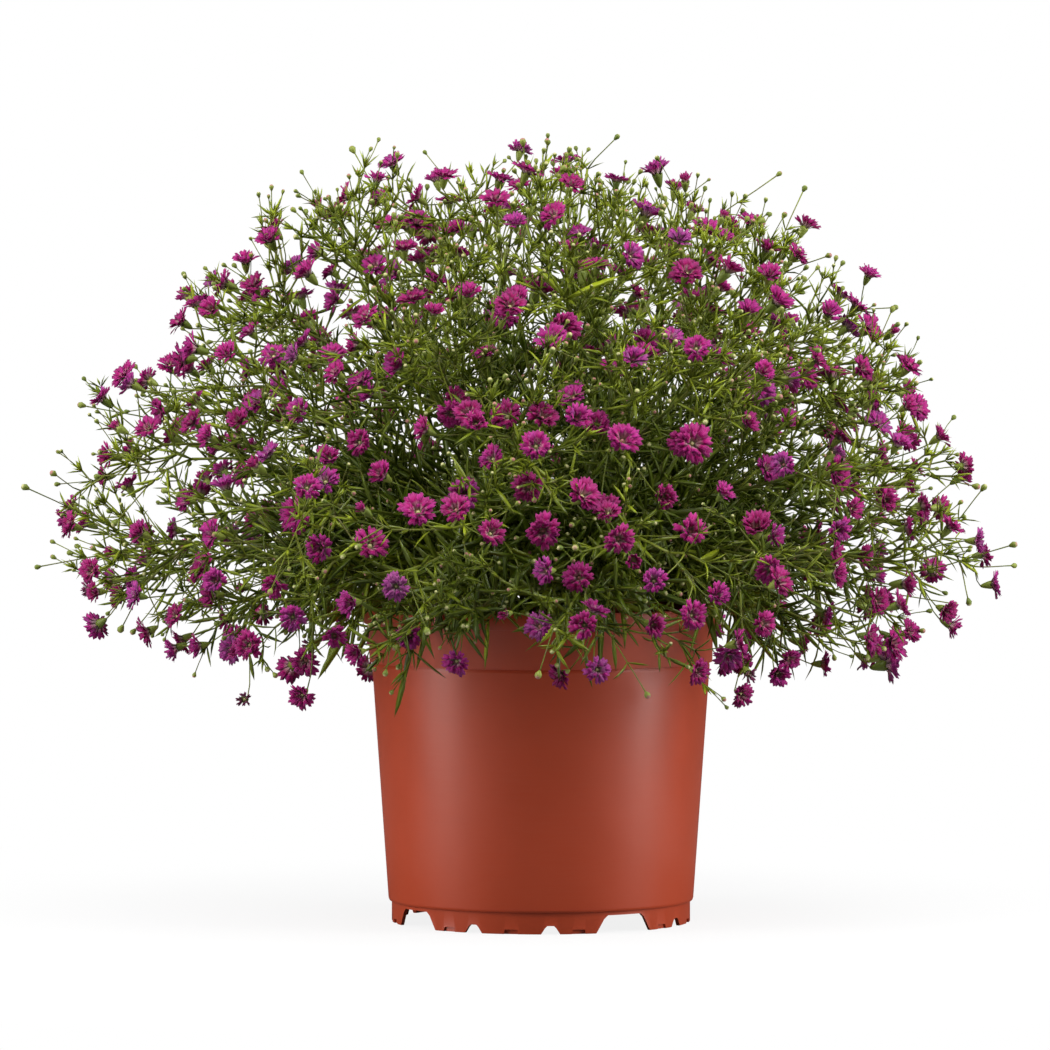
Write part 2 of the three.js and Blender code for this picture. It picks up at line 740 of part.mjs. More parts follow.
function piece(name, geometry, material) {
  const mesh = new THREE.Mesh(geometry, material);
  mesh.name = name;
  return mesh;
}

const sprays = growPlant();
const plant = new THREE.Group();
plant.add(piece("pot", potGeometry(), finish(0x9c3d24, 0.5)));
plant.add(piece("soil", soilGeometry(sprays), finish(0x1c1611, 1)));
sprays.forEach((spray, i) => {
  const name = "spray_" + String(i + 1).padStart(2, "0");
  plant.add(piece(name, sprayGeometry(spray), finish(0x5d7d35, 0.6)));
});

export default plant;
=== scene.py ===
# %% [markdown]
# # A potted gypsophila
# A low dome of hair-thin forking stems, narrow leaves and small double blooms stands in a
# terracotta-coloured nursery pot. The pot, the soil and thirty sprays come packed as plain solids.
# This lesson dresses them: it repeats the rule by which the sprays grow, and gives every stem,
# leaf, bud and petal its fine shape in the same place. Everything is in metres once it is a mesh;
# the growing itself is worked out in millimetres, as a gardener would measure a plant.

# %% Load the solids
import json
import math

import bpy
import numpy as np
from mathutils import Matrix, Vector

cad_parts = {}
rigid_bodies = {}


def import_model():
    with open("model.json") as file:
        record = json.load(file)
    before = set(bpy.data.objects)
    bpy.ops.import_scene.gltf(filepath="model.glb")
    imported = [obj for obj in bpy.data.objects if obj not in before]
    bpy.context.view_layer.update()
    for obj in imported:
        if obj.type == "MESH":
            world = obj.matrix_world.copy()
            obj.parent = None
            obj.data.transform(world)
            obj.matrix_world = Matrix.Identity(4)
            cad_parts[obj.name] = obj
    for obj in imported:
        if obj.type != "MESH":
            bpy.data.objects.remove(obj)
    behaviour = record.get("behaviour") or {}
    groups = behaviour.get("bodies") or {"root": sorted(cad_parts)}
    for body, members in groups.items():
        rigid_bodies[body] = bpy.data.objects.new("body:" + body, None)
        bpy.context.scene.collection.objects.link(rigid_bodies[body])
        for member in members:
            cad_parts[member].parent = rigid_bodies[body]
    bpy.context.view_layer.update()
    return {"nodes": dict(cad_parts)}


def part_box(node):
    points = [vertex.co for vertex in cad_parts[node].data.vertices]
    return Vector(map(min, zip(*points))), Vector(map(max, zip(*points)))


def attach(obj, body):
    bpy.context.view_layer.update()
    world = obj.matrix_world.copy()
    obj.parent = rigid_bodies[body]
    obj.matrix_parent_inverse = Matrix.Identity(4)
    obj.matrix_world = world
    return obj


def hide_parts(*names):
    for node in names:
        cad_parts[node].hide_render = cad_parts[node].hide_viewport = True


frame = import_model()
MM = 0.001
sprays_packed = sorted(name for name in frame["nodes"] if name.startswith("spray_"))
print("solids:", len(frame["nodes"]), "of them sprays:", len(sprays_packed))

# %% [markdown]
# ## The camera
# The plant was taken from two metres away with a long lens, a little above the rim and almost
# level, so the lip of the pot shows as a flat ellipse. A long lens far away keeps the dome's
# proportions; a short one close by would swell its middle.

# %% Place the camera
LENS, SENSOR_WIDTH = 202.7, 36
CAMERA_PLACE = (-0.0054, -2.002, 0.1922)
LOOKING_DOWN = 0.029

camera_data = bpy.data.cameras.new("camera")
camera_data.lens, camera_data.sensor_width = LENS, SENSOR_WIDTH
camera = bpy.data.objects.new("camera", camera_data)
camera.location = CAMERA_PLACE
camera.rotation_euler = (math.pi / 2 - LOOKING_DOWN, 0, 0)
bpy.context.scene.collection.objects.link(camera)
bpy.context.scene.camera = camera
print("camera", tuple(round(c, 3) for c in camera.location))

# %% [markdown]
# ## Helpers for finishes
# Every finish is a small net of nodes on one Principled shader. Pictures of leaves and plastic
# could be laid on instead, but each copy would show the same spots, and they blur close by. So the
# colour comes from a few tones mixed by noise, which is never the same twice, and by three shares
# that each point of a plant's mesh keeps: how far along its leaf or petal it lies, how far across,
# and a tone that is the same over one leaf or bloom. Relief comes from bump.

# %% Wiring helpers
# For leaves the tone also holds painted shade: it is lower the deeper inside the dome a leaf lies
SHARES = ("along", "across", "tone")


class Finish:
    """A material with one Principled shader, and short ways to wire nodes into it."""

    def __init__(self, name, roughness, **constants):
        self.material = bpy.data.materials.new(name)
        self.material.use_nodes = True
        self.tree = self.material.node_tree
        self.shader = self.tree.nodes["Principled BSDF"]
        self.shader.inputs["Roughness"].default_value = roughness
        for socket, value in constants.items():
            self.shader.inputs[socket.replace("_", " ")].default_value = value

    def node(self, kind, inputs=(), **settings):
        made = self.tree.nodes.new("ShaderNode" + kind)
        for setting, value in settings.items():
            setattr(made, setting, value)
        for socket, value in dict(inputs).items():
            self.feed(made.inputs[socket], value)
        return made

    def feed(self, socket, value):
        if isinstance(value, bpy.types.NodeSocket):
            self.tree.links.new(value, socket)
        elif isinstance(value, tuple) and len(value) == 3 and socket.type == "RGBA":
            socket.default_value = (*value, 1)
        else:
            socket.default_value = value

    def noise(self, size_mm, detail, stretch=(1, 1, 1)):
        """Soft spots about size_mm wide, but narrower along an axis whose stretch is over 1."""
        coordinates = self.node("TexCoord").outputs["Object"]
        place = self.node("Mapping", {"Vector": coordinates, "Scale": stretch}).outputs[0]
        made = self.node("TexNoise", {
            "Vector": place, "Scale": 1 / (size_mm * MM), "Detail": detail})
        return made.outputs["Fac"]

    def share(self, which):
        attribute = self.node("Attribute", attribute_name="shares").outputs["Vector"]
        return self.node("SeparateXYZ", {0: attribute}).outputs[SHARES.index(which)]

    def spread(self, value, low, high, to_low=0.0, to_high=1.0):
        return self.node("MapRange", {
            "Value": value, "From Min": low, "From Max": high,
            "To Min": to_low, "To Max": to_high}).outputs[0]

    def mix(self, share, one, other):
        """Colours mixed; a Mix node's colour sockets are its inputs 6 and 7 and its output 2."""
        return self.node("Mix", {0: share, 6: one, 7: other}, data_type="RGBA").outputs[2]

    def maths(self, how, one, other=0.0):
        return self.node("Math", {0: one, 1: other}, operation=how).outputs[0]

    def color(self, value):
        self.feed(self.shader.inputs["Base Color"], value)

    def bump(self, height, depth_mm, strength=1.0):
        made = self.node("Bump", {
            "Height": height, "Strength": strength, "Distance": depth_mm * MM})
        self.feed(self.shader.inputs["Normal"], made.outputs[0])


print("ready to wire")

# %% [markdown]
# ## The studio
# The picture has a white ground and soft light from both sides: the pot shows two upright bands
# of light, and its middle is darker. A photographed room could be wrapped round the scene, but
# plain lights can each be moved until the bands lie where they should. Two tall soft boxes stand
# at the sides, a wide one overhead lights the top of the dome, and two low white cards beside the
# pot carry the bands down its wall.

# %% Lay the floor
FLOOR_HALF_WIDTH = 6
FADE_FROM, FADE_TO, PALE_BY_THE_POT = 0.06, 0.35, 0.86
CAST_PALENESS, SEEN_PALENESS = 0.12, 0.9


def floor_finish():
    """Seen pale round the pot and white further out, so that no horizon shows; it throws only
    a little light back, which keeps the front of the pot and the inside of the plant dark."""
    finish = Finish("pale floor", 0.9)
    seen = finish.node("LightPath").outputs["Is Camera Ray"]
    finish.color(finish.spread(seen, 0, 1, CAST_PALENESS, SEEN_PALENESS))
    place = finish.node("TexCoord").outputs["Object"]
    distance = finish.node("VectorMath", {0: place}, operation="LENGTH").outputs["Value"]
    whiteness = finish.spread(distance, FADE_FROM, FADE_TO, PALE_BY_THE_POT, 1)
    share = finish.maths("MULTIPLY", whiteness, seen)
    glow = finish.node("Emission").outputs[0]
    mixed = finish.node("MixShader", {0: share, 1: finish.shader.outputs[0], 2: glow})
    finish.feed(finish.tree.nodes["Material Output"].inputs["Surface"], mixed.outputs[0])
    return finish.material


def lay_floor():
    half = FLOOR_HALF_WIDTH
    mesh = bpy.data.meshes.new("floor")
    corners = [(-half, -half, 0), (half, -half, 0), (half, half, 0), (-half, half, 0)]
    mesh.from_pydata(corners, [], [(0, 1, 2, 3)])
    mesh.materials.append(floor_finish())
    floor = bpy.data.objects.new("floor", mesh)
    bpy.context.scene.collection.objects.link(floor)


lay_floor()
print("floor width in metres:", 2 * FLOOR_HALF_WIDTH)

# %% Light the scene
# Each light: its place, what it points at, its width and height in metres, and its watts
LIGHTS = {
    "left soft box": ((-1.30, -0.44, 0.5), (0, 0, 0.14), (0.5, 1.3), 20.5),
    "right soft box": ((1.33, -0.33, 0.5), (0, 0, 0.14), (0.5, 1.3), 22),
    "top soft box": ((0.1, -0.6, 1.5), (0, 0, 0.12), (1.0, 0.8), 24),
    "left card": ((-0.28, -0.17, 0.01), (-0.28, -0.165, 1), (0.38, 0.32), 0.13),
    "right card": ((0.30, -0.13, 0.01), (0.30, -0.125, 1), (0.38, 0.32), 0.155),
}


def light_surroundings(seen, cast, mirrored):
    """Pale all round: white where it is seen, weak as a light, weaker still in the gloss."""
    world = bpy.data.worlds.new("pale surroundings")
    bpy.context.scene.world = world
    world.use_nodes = True
    nodes, links = world.node_tree.nodes, world.node_tree.links
    nodes.clear()
    out = nodes.new("ShaderNodeOutputWorld")
    pale = nodes.new("ShaderNodeBackground")
    path = nodes.new("ShaderNodeLightPath")
    pale.inputs["Color"].default_value = (1, 1, 1, 1)
    strength = None
    for ray, extra in (("Is Camera Ray", seen - mirrored), ("Is Diffuse Ray", cast - mirrored)):
        step = nodes.new("ShaderNodeMath")
        step.operation = "MULTIPLY_ADD"
        links.new(path.outputs[ray], step.inputs[0])
        step.inputs[1].default_value, step.inputs[2].default_value = extra, mirrored
        if strength:
            links.new(strength, step.inputs[2])
        strength = step.outputs[0]
    links.new(strength, pale.inputs["Strength"])
    links.new(pale.outputs[0], out.inputs[0])


def hang_light(name, place, target, size, power):
    data = bpy.data.lights.new(name, "AREA")
    data.shape = "RECTANGLE"
    data.size, data.size_y = size
    data.energy = power
    light = bpy.data.objects.new(name, data)
    light.location = place
    x, y, z = (t - p for t, p in zip(target, place))
    light.rotation_euler = (math.atan2(math.hypot(x, y), -z), 0, math.atan2(-x, y))
    light.visible_camera = False
    bpy.context.scene.collection.objects.link(light)


light_surroundings(seen=1.0, cast=0.13, mirrored=0.02)
for name, settings in LIGHTS.items():
    hang_light(name, *settings)
bpy.context.scene.view_settings.view_transform = "Standard"

# %% [markdown]
# ## Building meshes from blocks
# A plant is thousands of copies of a few forms, none quite alike. Placing them one by one by hand
# would take days, and linked copies would all be the same. Here each kind of form is worked out
# as one block of numbers for all its copies at once, and a Skin gathers the blocks and lays them
# down as one mesh. Each point also keeps the three shares that the finishes read.

# %% A gatherer of blocks
class Skin:
    """Blocks of copies, gathered and then laid down as one mesh."""

    def __init__(self):
        self.points, self.faces, self.shares, self.count = [], [], [], 0

    def add(self, points, faces, along=0, across=0, tone=0):
        """points: copies x corners x 3; faces: corner numbers within one copy; then the shares."""
        copies, corners = points.shape[:2]
        first = self.count + corners * np.arange(copies)[:, None]
        for face in faces:
            self.faces.append(first + np.array(face)[None, :])
        shares = np.zeros(points.shape)
        shares[..., 0], shares[..., 1], shares[..., 2] = along, across, tone
        self.points.append(points.reshape(-1, 3))
        self.shares.append(shares.reshape(-1, 3))
        self.count += copies * corners

    def lay(self, name, finish, slot, smooth=True):
        mesh = bpy.data.meshes.new(name)
        faces = [row for block in self.faces for row in block.tolist()]
        mesh.from_pydata((np.concatenate(self.points) * MM).tolist(), [], faces)
        shares = mesh.attributes.new("shares", "FLOAT_VECTOR", "POINT")
        shares.data.foreach_set("vector", np.concatenate(self.shares).astype(np.float32).ravel())
        mesh.polygons.foreach_set("use_smooth", [smooth] * len(mesh.polygons))
        mesh.materials.append(finish)
        piece = bpy.data.objects.new(name, mesh)
        bpy.context.scene.collection.objects.link(piece)
        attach(piece, "root")
        return piece


def triangles_in(pieces):
    return sum(len(f.vertices) - 2 for piece in pieces for f in piece.data.polygons)


print("ready to gather")

# %% [markdown]
# ## The pot
# The pot is injection moulded: a tapered wall with a band at the top, a shallow groove under the
# band, a flat lip, a seam just above the foot, a raised floor plate with six drain holes, and a
# foot ring with twelve cuts for air and water, each third one large. It could stay as packed, but
# that solid is a ring of forty flats. So its outline is turned again with many more sides, softened
# edges and the small relief in each foot, and the cuts and holes are made with one Boolean, as
# they are in the solid.

# %% Turn the outline
POT_SIDES = 192
LIP_RADIUS, LIP_TOP, LIP_BOTTOM = 60, 106.6, 101
BAND_RADIUS, BAND_BOTTOM_RADIUS, BAND_BOTTOM = 58.3, 58.1, 88
BODY_TOP_RADIUS, BODY_BOTTOM_RADIUS, BODY_BOTTOM = 57.2, 51.7, 8
SEAM_RADIUS, SEAM_HEIGHT, FOOT_RADIUS, FOOT_WALL = 51.4, 7.2, 50.6, 1.3
WALL, PLATE_TOP, PLATE_BOTTOM = 1, 8.8, 7.6
GROOVE_DEPTH, GROOVE_HEIGHT = 0.35, 1.1
EDGE_SOFTNESS = 0.2


def softened(outline):
    """Replaces each corner of an outline, given as radius and height, by three points."""
    soft = [outline[0]]
    for before, corner, after in zip(outline, outline[1:], outline[2:]):
        corner = np.array(corner, float)
        arms = [np.array(end, float) - corner for end in (before, after)]
        lengths = [np.linalg.norm(arm) for arm in arms]
        cut = min(EDGE_SOFTNESS, *(0.4 * length for length in lengths))
        one, two = (corner + arm / length * cut for arm, length in zip(arms, lengths))
        soft += [tuple(one), tuple((one + two + 2 * corner) / 4), tuple(two)]
    return soft + [outline[-1]]


def around(sides):
    """The angles of so many corners, evenly spread round a ring."""
    return 2 * math.pi * np.arange(sides) / sides


def turned_faces(outline, sides):
    """Faces of an outline turned about an axis on which its first and last points lie."""
    top = 1 + (len(outline) - 3) * sides
    faces = []
    for i in range(sides):
        j = (i + 1) % sides
        faces.append((0, 1 + j, 1 + i))
        for low in range(1, top, sides):
            high = low + sides
            faces.append((low + i, low + j, high + j, high + i))
        faces.append((top + i, top + j, top + sides))
    return faces


def turned(outline, sides):
    """Points and faces of an outline turned about the upright axis."""
    points = [(0, 0, outline[0][1])]
    for radius, height in outline[1:-1]:
        points += [(radius * math.cos(a), radius * math.sin(a), height) for a in around(sides)]
    points.append((0, 0, outline[-1][1]))
    return points, turned_faces(outline, sides)


foot_inside = FOOT_RADIUS - FOOT_WALL
pot_outline = softened([
    (0, PLATE_BOTTOM), (foot_inside, PLATE_BOTTOM), (foot_inside, 0), (FOOT_RADIUS, 0),
    (FOOT_RADIUS, SEAM_HEIGHT), (SEAM_RADIUS, SEAM_HEIGHT), (BODY_BOTTOM_RADIUS, BODY_BOTTOM),
    (BODY_TOP_RADIUS, BAND_BOTTOM - GROOVE_HEIGHT),
    (BODY_TOP_RADIUS - GROOVE_DEPTH, BAND_BOTTOM),
    (BAND_BOTTOM_RADIUS, BAND_BOTTOM), (BAND_RADIUS, LIP_BOTTOM),
    (LIP_RADIUS, LIP_BOTTOM), (LIP_RADIUS, LIP_TOP), (BAND_RADIUS - WALL, LIP_TOP),
    (BAND_BOTTOM_RADIUS - WALL, BAND_BOTTOM + WALL), (BODY_TOP_RADIUS - WALL, BAND_BOTTOM - WALL),
    (BODY_BOTTOM_RADIUS - WALL, PLATE_TOP), (0, PLATE_TOP),
])
print("outline points:", len(pot_outline))

# %% Shape the cutters
CUTS, FIRST_CUT = 12, 3.5
# Each cut: its half widths and heights, from the floor up
LARGE_CUT = [(10.8, 0), (8, 4.7), (6.6, 5.9)]
SMALL_CUT = [(3.2, 0), (1.9, 2), (1.1, 2.8)]
FOOT_RELIEF, RELIEF_DEPTH = [(2.4, 0), (2.1, 1.5)], 0.8
# Degrees from a cut to the middle of the next foot; they depend on which cut beside it is large
TO_NEXT_FOOT = (19.3, 15, 10.7)
HOLES, HOLE_CIRCLE, HOLE_RADIUS, HOLE_SIDES = 6, 34, 4, 32
PAST_FOOT, PAST_PLATE = 1, 2


def prism_faces(corners):
    """The ends and sides of a prism whose ends have so many corners."""
    faces = [tuple(range(corners)), tuple(reversed(range(corners, 2 * corners)))]
    faces += [(i, i + corners, (i + 1) % corners + corners, (i + 1) % corners)
              for i in range(corners)]
    return faces


def foot_cut(half, depth_from, degrees):
    """A prism out through the foot ring; half holds half widths and heights."""
    side = [(half[0][0], -1)] + half
    outline = [(-w, h) for w, h in side] + [(w, h) for w, h in reversed(side)]
    turn = math.radians(degrees)
    points = []
    for depth in (depth_from, FOOT_RADIUS + PAST_FOOT):
        for w, h in outline:
            x, y = w, -depth
            points.append((x * math.cos(turn) - y * math.sin(turn),
                           x * math.sin(turn) + y * math.cos(turn), h))
    return points, prism_faces(len(outline))


def drain_hole(number):
    angle = 2 * math.pi * number / HOLES
    x, y = HOLE_CIRCLE * math.cos(angle), HOLE_CIRCLE * math.sin(angle)
    points = [(x + HOLE_RADIUS * math.cos(a), y + HOLE_RADIUS * math.sin(a), height)
              for height in (PLATE_TOP + PAST_PLATE, PLATE_TOP - PAST_PLATE)
              for a in around(HOLE_SIDES)]
    return points, prism_faces(HOLE_SIDES)


def all_cutters():
    cutters = []
    for number in range(CUTS):
        middle = FIRST_CUT + 360 / CUTS * number
        size = LARGE_CUT if number % 3 == 1 else SMALL_CUT
        next_foot = middle + TO_NEXT_FOOT[(number + 2) % 3]
        cutters.append(foot_cut(size, FOOT_RADIUS / 1.5, middle))
        cutters.append(foot_cut(FOOT_RELIEF, FOOT_RADIUS - RELIEF_DEPTH, next_foot))
    return cutters + [drain_hole(number) for number in range(HOLES)]


cutters = all_cutters()
print("cutters:", len(cutters))

# %% Cut the foot
def bare_mesh(name, points, faces):
    mesh = bpy.data.meshes.new(name)
    mesh.from_pydata([tuple(c * MM for c in p) for p in points], [], faces)
    mesh.update()
    made = bpy.data.objects.new(name, mesh)
    bpy.context.scene.collection.objects.link(made)
    return made


def cut_away(piece, cutters):
    """Takes closed prisms out of a piece with one Boolean."""
    points, faces = [], []
    for cutter_points, cutter_faces in cutters:
        faces += [tuple(i + len(points) for i in face) for face in cutter_faces]
        points += cutter_points
    tool = bare_mesh("cutters", points, faces)
    boolean = piece.modifiers.new("cuts", "BOOLEAN")
    boolean.operation, boolean.solver, boolean.object = "DIFFERENCE", "EXACT", tool
    boolean.use_self = False
    bpy.context.view_layer.objects.active = piece
    with bpy.context.temp_override(object=piece, active_object=piece):
        bpy.ops.object.modifier_apply(modifier=boolean.name)
    bpy.data.objects.remove(tool)


pot = bare_mesh("pot_shell", *turned(pot_outline, POT_SIDES))
cut_away(pot, cutters)
print("pot faces after the cuts:", len(pot.data.polygons))

# %% [markdown]
# The wall is satin plastic with fine level lines left by the mould, a faint mottle, and a little
# dust. A wave pattern would draw the lines, but all alike. Noise is uneven, as the real ones are,
# and a line is far longer than it is thick, so the upright scale is many times the level one.

# %% Finish the pot
TERRACOTTA, LIGHT_TERRACOTTA = (0.43, 0.050, 0.013), (0.48, 0.058, 0.017)
POT_DUST, MOST_POT_DUST = (0.46, 0.10, 0.05), 0.16
SHARPEST_SOFT_EDGE = math.radians(28)


def pot_finish():
    finish = Finish("terracotta plastic", 0.3, Specular_IOR_Level=0.5)
    lines = finish.noise(12, 2, stretch=(1, 1, 22))
    mottle = finish.noise(22, 3)
    grain = finish.noise(1.2, 2)
    warm = finish.mix(finish.spread(mottle, 0.1, 0.9), TERRACOTTA, LIGHT_TERRACOTTA)
    dustiness = finish.spread(lines, 0.1, 0.9, 0, MOST_POT_DUST)
    finish.color(finish.mix(dustiness, warm, POT_DUST))
    finish.feed(finish.shader.inputs["Roughness"], finish.spread(mottle, 0.1, 0.9, 0.33, 0.41))
    relief = finish.maths("ADD", finish.maths("MULTIPLY", lines, 0.5),
                          finish.maths("MULTIPLY", grain, 0.5))
    finish.bump(relief, 0.06, 0.35)
    return finish.material


pot.data.materials.append(pot_finish())
pot.data.polygons.foreach_set("use_smooth", [True] * len(pot.data.polygons))
pot.data.set_sharp_from_angle(angle=SHARPEST_SOFT_EDGE)
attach(pot, "root")
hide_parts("pot")

# %% [markdown]
# ## The soil
# Peat fills the pot to a finger's width below the lip. Almost nothing of it shows between the
# stems, but seen from above it must not be a bare disc. Bump alone would leave its edge dead flat,
# so its top is a raised and sunken field, with loose crumbs, fibres and a few pale grains of
# perlite on it.

# %% Fill the pot
SOIL_TOP, SOIL_GAP = 97, 0.5
SOIL_SIDES, SOIL_RINGS, SOIL_TONE = 96, 34, 0.3
GRAIN_CIRCLE = 55
# Each kind of grain: how many there are, the smallest and the largest, and its tone
GRAINS = [(900, 0.5, 1.5, 0.25), (380, 0.4, 1.0, 0.6), (60, 0.7, 1.3, 1.0)]
earth = np.random.default_rng(21)


def soil_height(x, y):
    wide = np.sin(0.21 * x + 1) * np.cos(0.17 * y) + 0.6 * np.sin(0.43 * y + 0.3 * x)
    fine = 0.35 * np.sin(1.1 * x + 2 * np.sin(0.7 * y)) * np.sin(0.9 * y + 1.3 * np.sin(0.5 * x))
    return SOIL_TOP - 0.4 + 0.75 * wide + fine


def fill_with_soil():
    inset = WALL + SOIL_GAP
    bottom, rim = PLATE_TOP + SOIL_GAP, BAND_BOTTOM_RADIUS - inset
    profile = [(0, bottom), (BODY_BOTTOM_RADIUS - inset, bottom),
               (BODY_TOP_RADIUS - inset, BAND_BOTTOM - WALL), (rim, BAND_BOTTOM + WALL)]
    profile += [(rim * math.sqrt(share), SOIL_TOP) for share in np.linspace(1, 0.02, SOIL_RINGS)]
    profile.append((0, SOIL_TOP))
    points, faces = turned(profile, SOIL_SIDES)
    raised = [(x, y, float(soil_height(x, y)) if z == SOIL_TOP else z) for x, y, z in points]
    return raised, faces


def scatter_grains(amount, smallest, largest):
    """Small uneven octahedra, spread over the top of the soil."""
    radius = GRAIN_CIRCLE * np.sqrt(earth.random(amount))
    angle = 2 * math.pi * earth.random(amount)
    x, y = radius * np.cos(angle), radius * np.sin(angle)
    places = np.stack([x, y, soil_height(x, y) + 0.1], 1)
    sizes = earth.uniform(smallest, largest, amount)
    ways = np.array([(1, 0, 0), (0, 1, 0), (-1, 0, 0), (0, -1, 0), (0, 0, 1), (0, 0, -1)], float)
    reach = earth.uniform(0.6, 1.1, (amount, 6, 1)) * sizes[:, None, None]
    faces = [(i, (i + 1) % 4, 4) for i in range(4)] + [((i + 1) % 4, i, 5) for i in range(4)]
    return places[:, None, :] + ways[None] * reach, faces


soil_skin = Skin()
body_points, body_faces = fill_with_soil()
soil_skin.add(np.array([body_points]), body_faces, tone=SOIL_TONE)
for amount, smallest, largest, tone in GRAINS:
    soil_skin.add(*scatter_grains(amount, smallest, largest), tone=tone)
print("soil grains:", sum(amount for amount, *_ in GRAINS))

# %% Finish the soil
WET_PEAT, DRY_PEAT = (0.010, 0.007, 0.004), (0.050, 0.034, 0.020)
FIBRE, PERLITE = (0.11, 0.07, 0.035), (0.62, 0.60, 0.55)


def soil_finish():
    finish = Finish("moist peat", 0.95, Specular_IOR_Level=0.2)
    crumb, tone = finish.noise(1.6, 6), finish.share("tone")
    peat = finish.mix(finish.spread(crumb, 0.35, 0.65), WET_PEAT, DRY_PEAT)
    fibrous = finish.mix(finish.spread(tone, 0.4, 0.7), peat, FIBRE)
    finish.color(finish.mix(finish.spread(tone, 0.8, 0.95), fibrous, PERLITE))
    finish.bump(crumb, 0.8, 0.9)
    return finish.material


soil = soil_skin.lay("soil_crumbly", soil_finish(), "soil", smooth=False)
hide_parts("soil")
print("soil triangles:", triangles_in([soil]))

# %% [markdown]
# ## How the plant grows
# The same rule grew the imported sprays, and it is followed here step by step, with the same chain
# of draws, so each fork, leaf, bloom and bud lands in the same place. The tips come first: they
# are spread evenly through the outer half of a dome, and each goes to the spray that leans its
# way. Then each spray forks back from its tips, as a gypsophila does: at each fork one tip has a
# stalk of its own, and the others part into two arms. Points are plain triples of numbers here,
# because Blender's own vectors keep fewer digits and a long chain of choices could drift apart.

# %% Sums with triples
UP = (0.0, 0.0, 1.0)


def plus(a, b, times=1.0):
    return (a[0] + b[0] * times, a[1] + b[1] * times, a[2] + b[2] * times)


def less(a, b):
    return (a[0] - b[0], a[1] - b[1], a[2] - b[2])


def scaled(a, times):
    return (a[0] * times, a[1] * times, a[2] * times)


def dot(a, b):
    return a[0] * b[0] + a[1] * b[1] + a[2] * b[2]


def cross(a, b):
    return (a[1] * b[2] - a[2] * b[1], a[2] * b[0] - a[0] * b[2], a[0] * b[1] - a[1] * b[0])


def size_of(a):
    return math.sqrt(dot(a, a))


def unit(a):
    return scaled(a, 1 / (size_of(a) or 1))


def apart(a, b):
    return size_of(less(a, b))


def limited(value, low, high):
    return min(max(value, low), high)


def middle_of(points):
    total = (0.0, 0.0, 0.0)
    for point in points:
        total = plus(total, point)
    return scaled(total, 1 / len(points))


# %% The plant's measures
SEED = 42
SPRAYS, BLOOMS, BUDS = 30, 585, 65
# The crown, where the stems leave the soil, and the dome that the blooms make
CROWN_RADIUS, COLLAR_HEIGHT, ROOT_DEPTH = 33, 3, 12
DOME_CENTRE = (-1.0, 0.0, 97.0)
DOME_REACH, MOST_REACH, LOWEST_SLOPE, TOP_SLOPE = 168, 165, -0.16, 0.995
# It is drawn in below so many degrees, leans a little, and swells and dips along its side
DRAWN_IN, DRAWN_IN_BELOW, DRAWN_IN_OVER = 0.55, 8, 32
LEAN, WIDE_SWELL, NARROW_SWELL = -0.03, 0.015, 0.02
# Blooms and buds, the thickness of stems, and the room between them
BLOOM_RADIUS, CALYX_LENGTH, BUD_LENGTH, BUD_RADIUS = 4.9, 4.2, 3.2, 1.3
PEDICEL_RADIUS, THICKENING, CLEAR = 0.42, 0.15, 0.35
# Tips: steps of one over this number, over its square and over its cube fill a space evenly, as
# golden turns fill a disc, and the biases then move the tips up and out
EVEN_SPREAD = 1.2207440846
UPWARD_BIAS, OUTWARD_BIAS = 0.76, 0.42
BUD_DEPTHS, BLOOM_DEPTHS = (0.93, 1.03), (0.6, 0.985)
FACING_UP, FACING_STRAY, TIP_STRAY, TIP_GAP, OFF_THE_POT = 0.3, 0.7, 6, 0.7, 3
TIP_TRIES, TIP_WANDER, FACING_SHARE = 14, 0.9, 0.9
# Forks: how far before its tips one stands, how it keeps its way, and how far it may stray
FORK_SETBACK, LAST_STRETCH, SHORTEST_STRETCH, MOMENTUM, STRAY = 1.45, 9, 7, 0.12, 10
FORK_TRIES, SHOULDER_TRIES = 16, 30
ARM_PULL, TURN_EFFORT = 8, 1.6
SHOULDER_PULL, SHOULDER_INSET, SHOULDER_RISE, SHOULDER_LIFT = 0.22, 0.6, 27, 0.25
# The leaves that the solids have too: their length, how many there are, and how they stand
LEAF_LENGTH, LEAF_GAIN, LEAF_STRAY, ARM_LEAVES, STALK_LEAVES = 9, 22, 4, 0.12, 0.06
LEAF_BEND, LEAF_LEAN, LEAF_START, LEAF_ROOM, LEAF_TRIES = 0.6, (1, 1.9), 2, 1.1, 4
print("sprays, blooms and buds wanted:", SPRAYS, BLOOMS, BUDS)
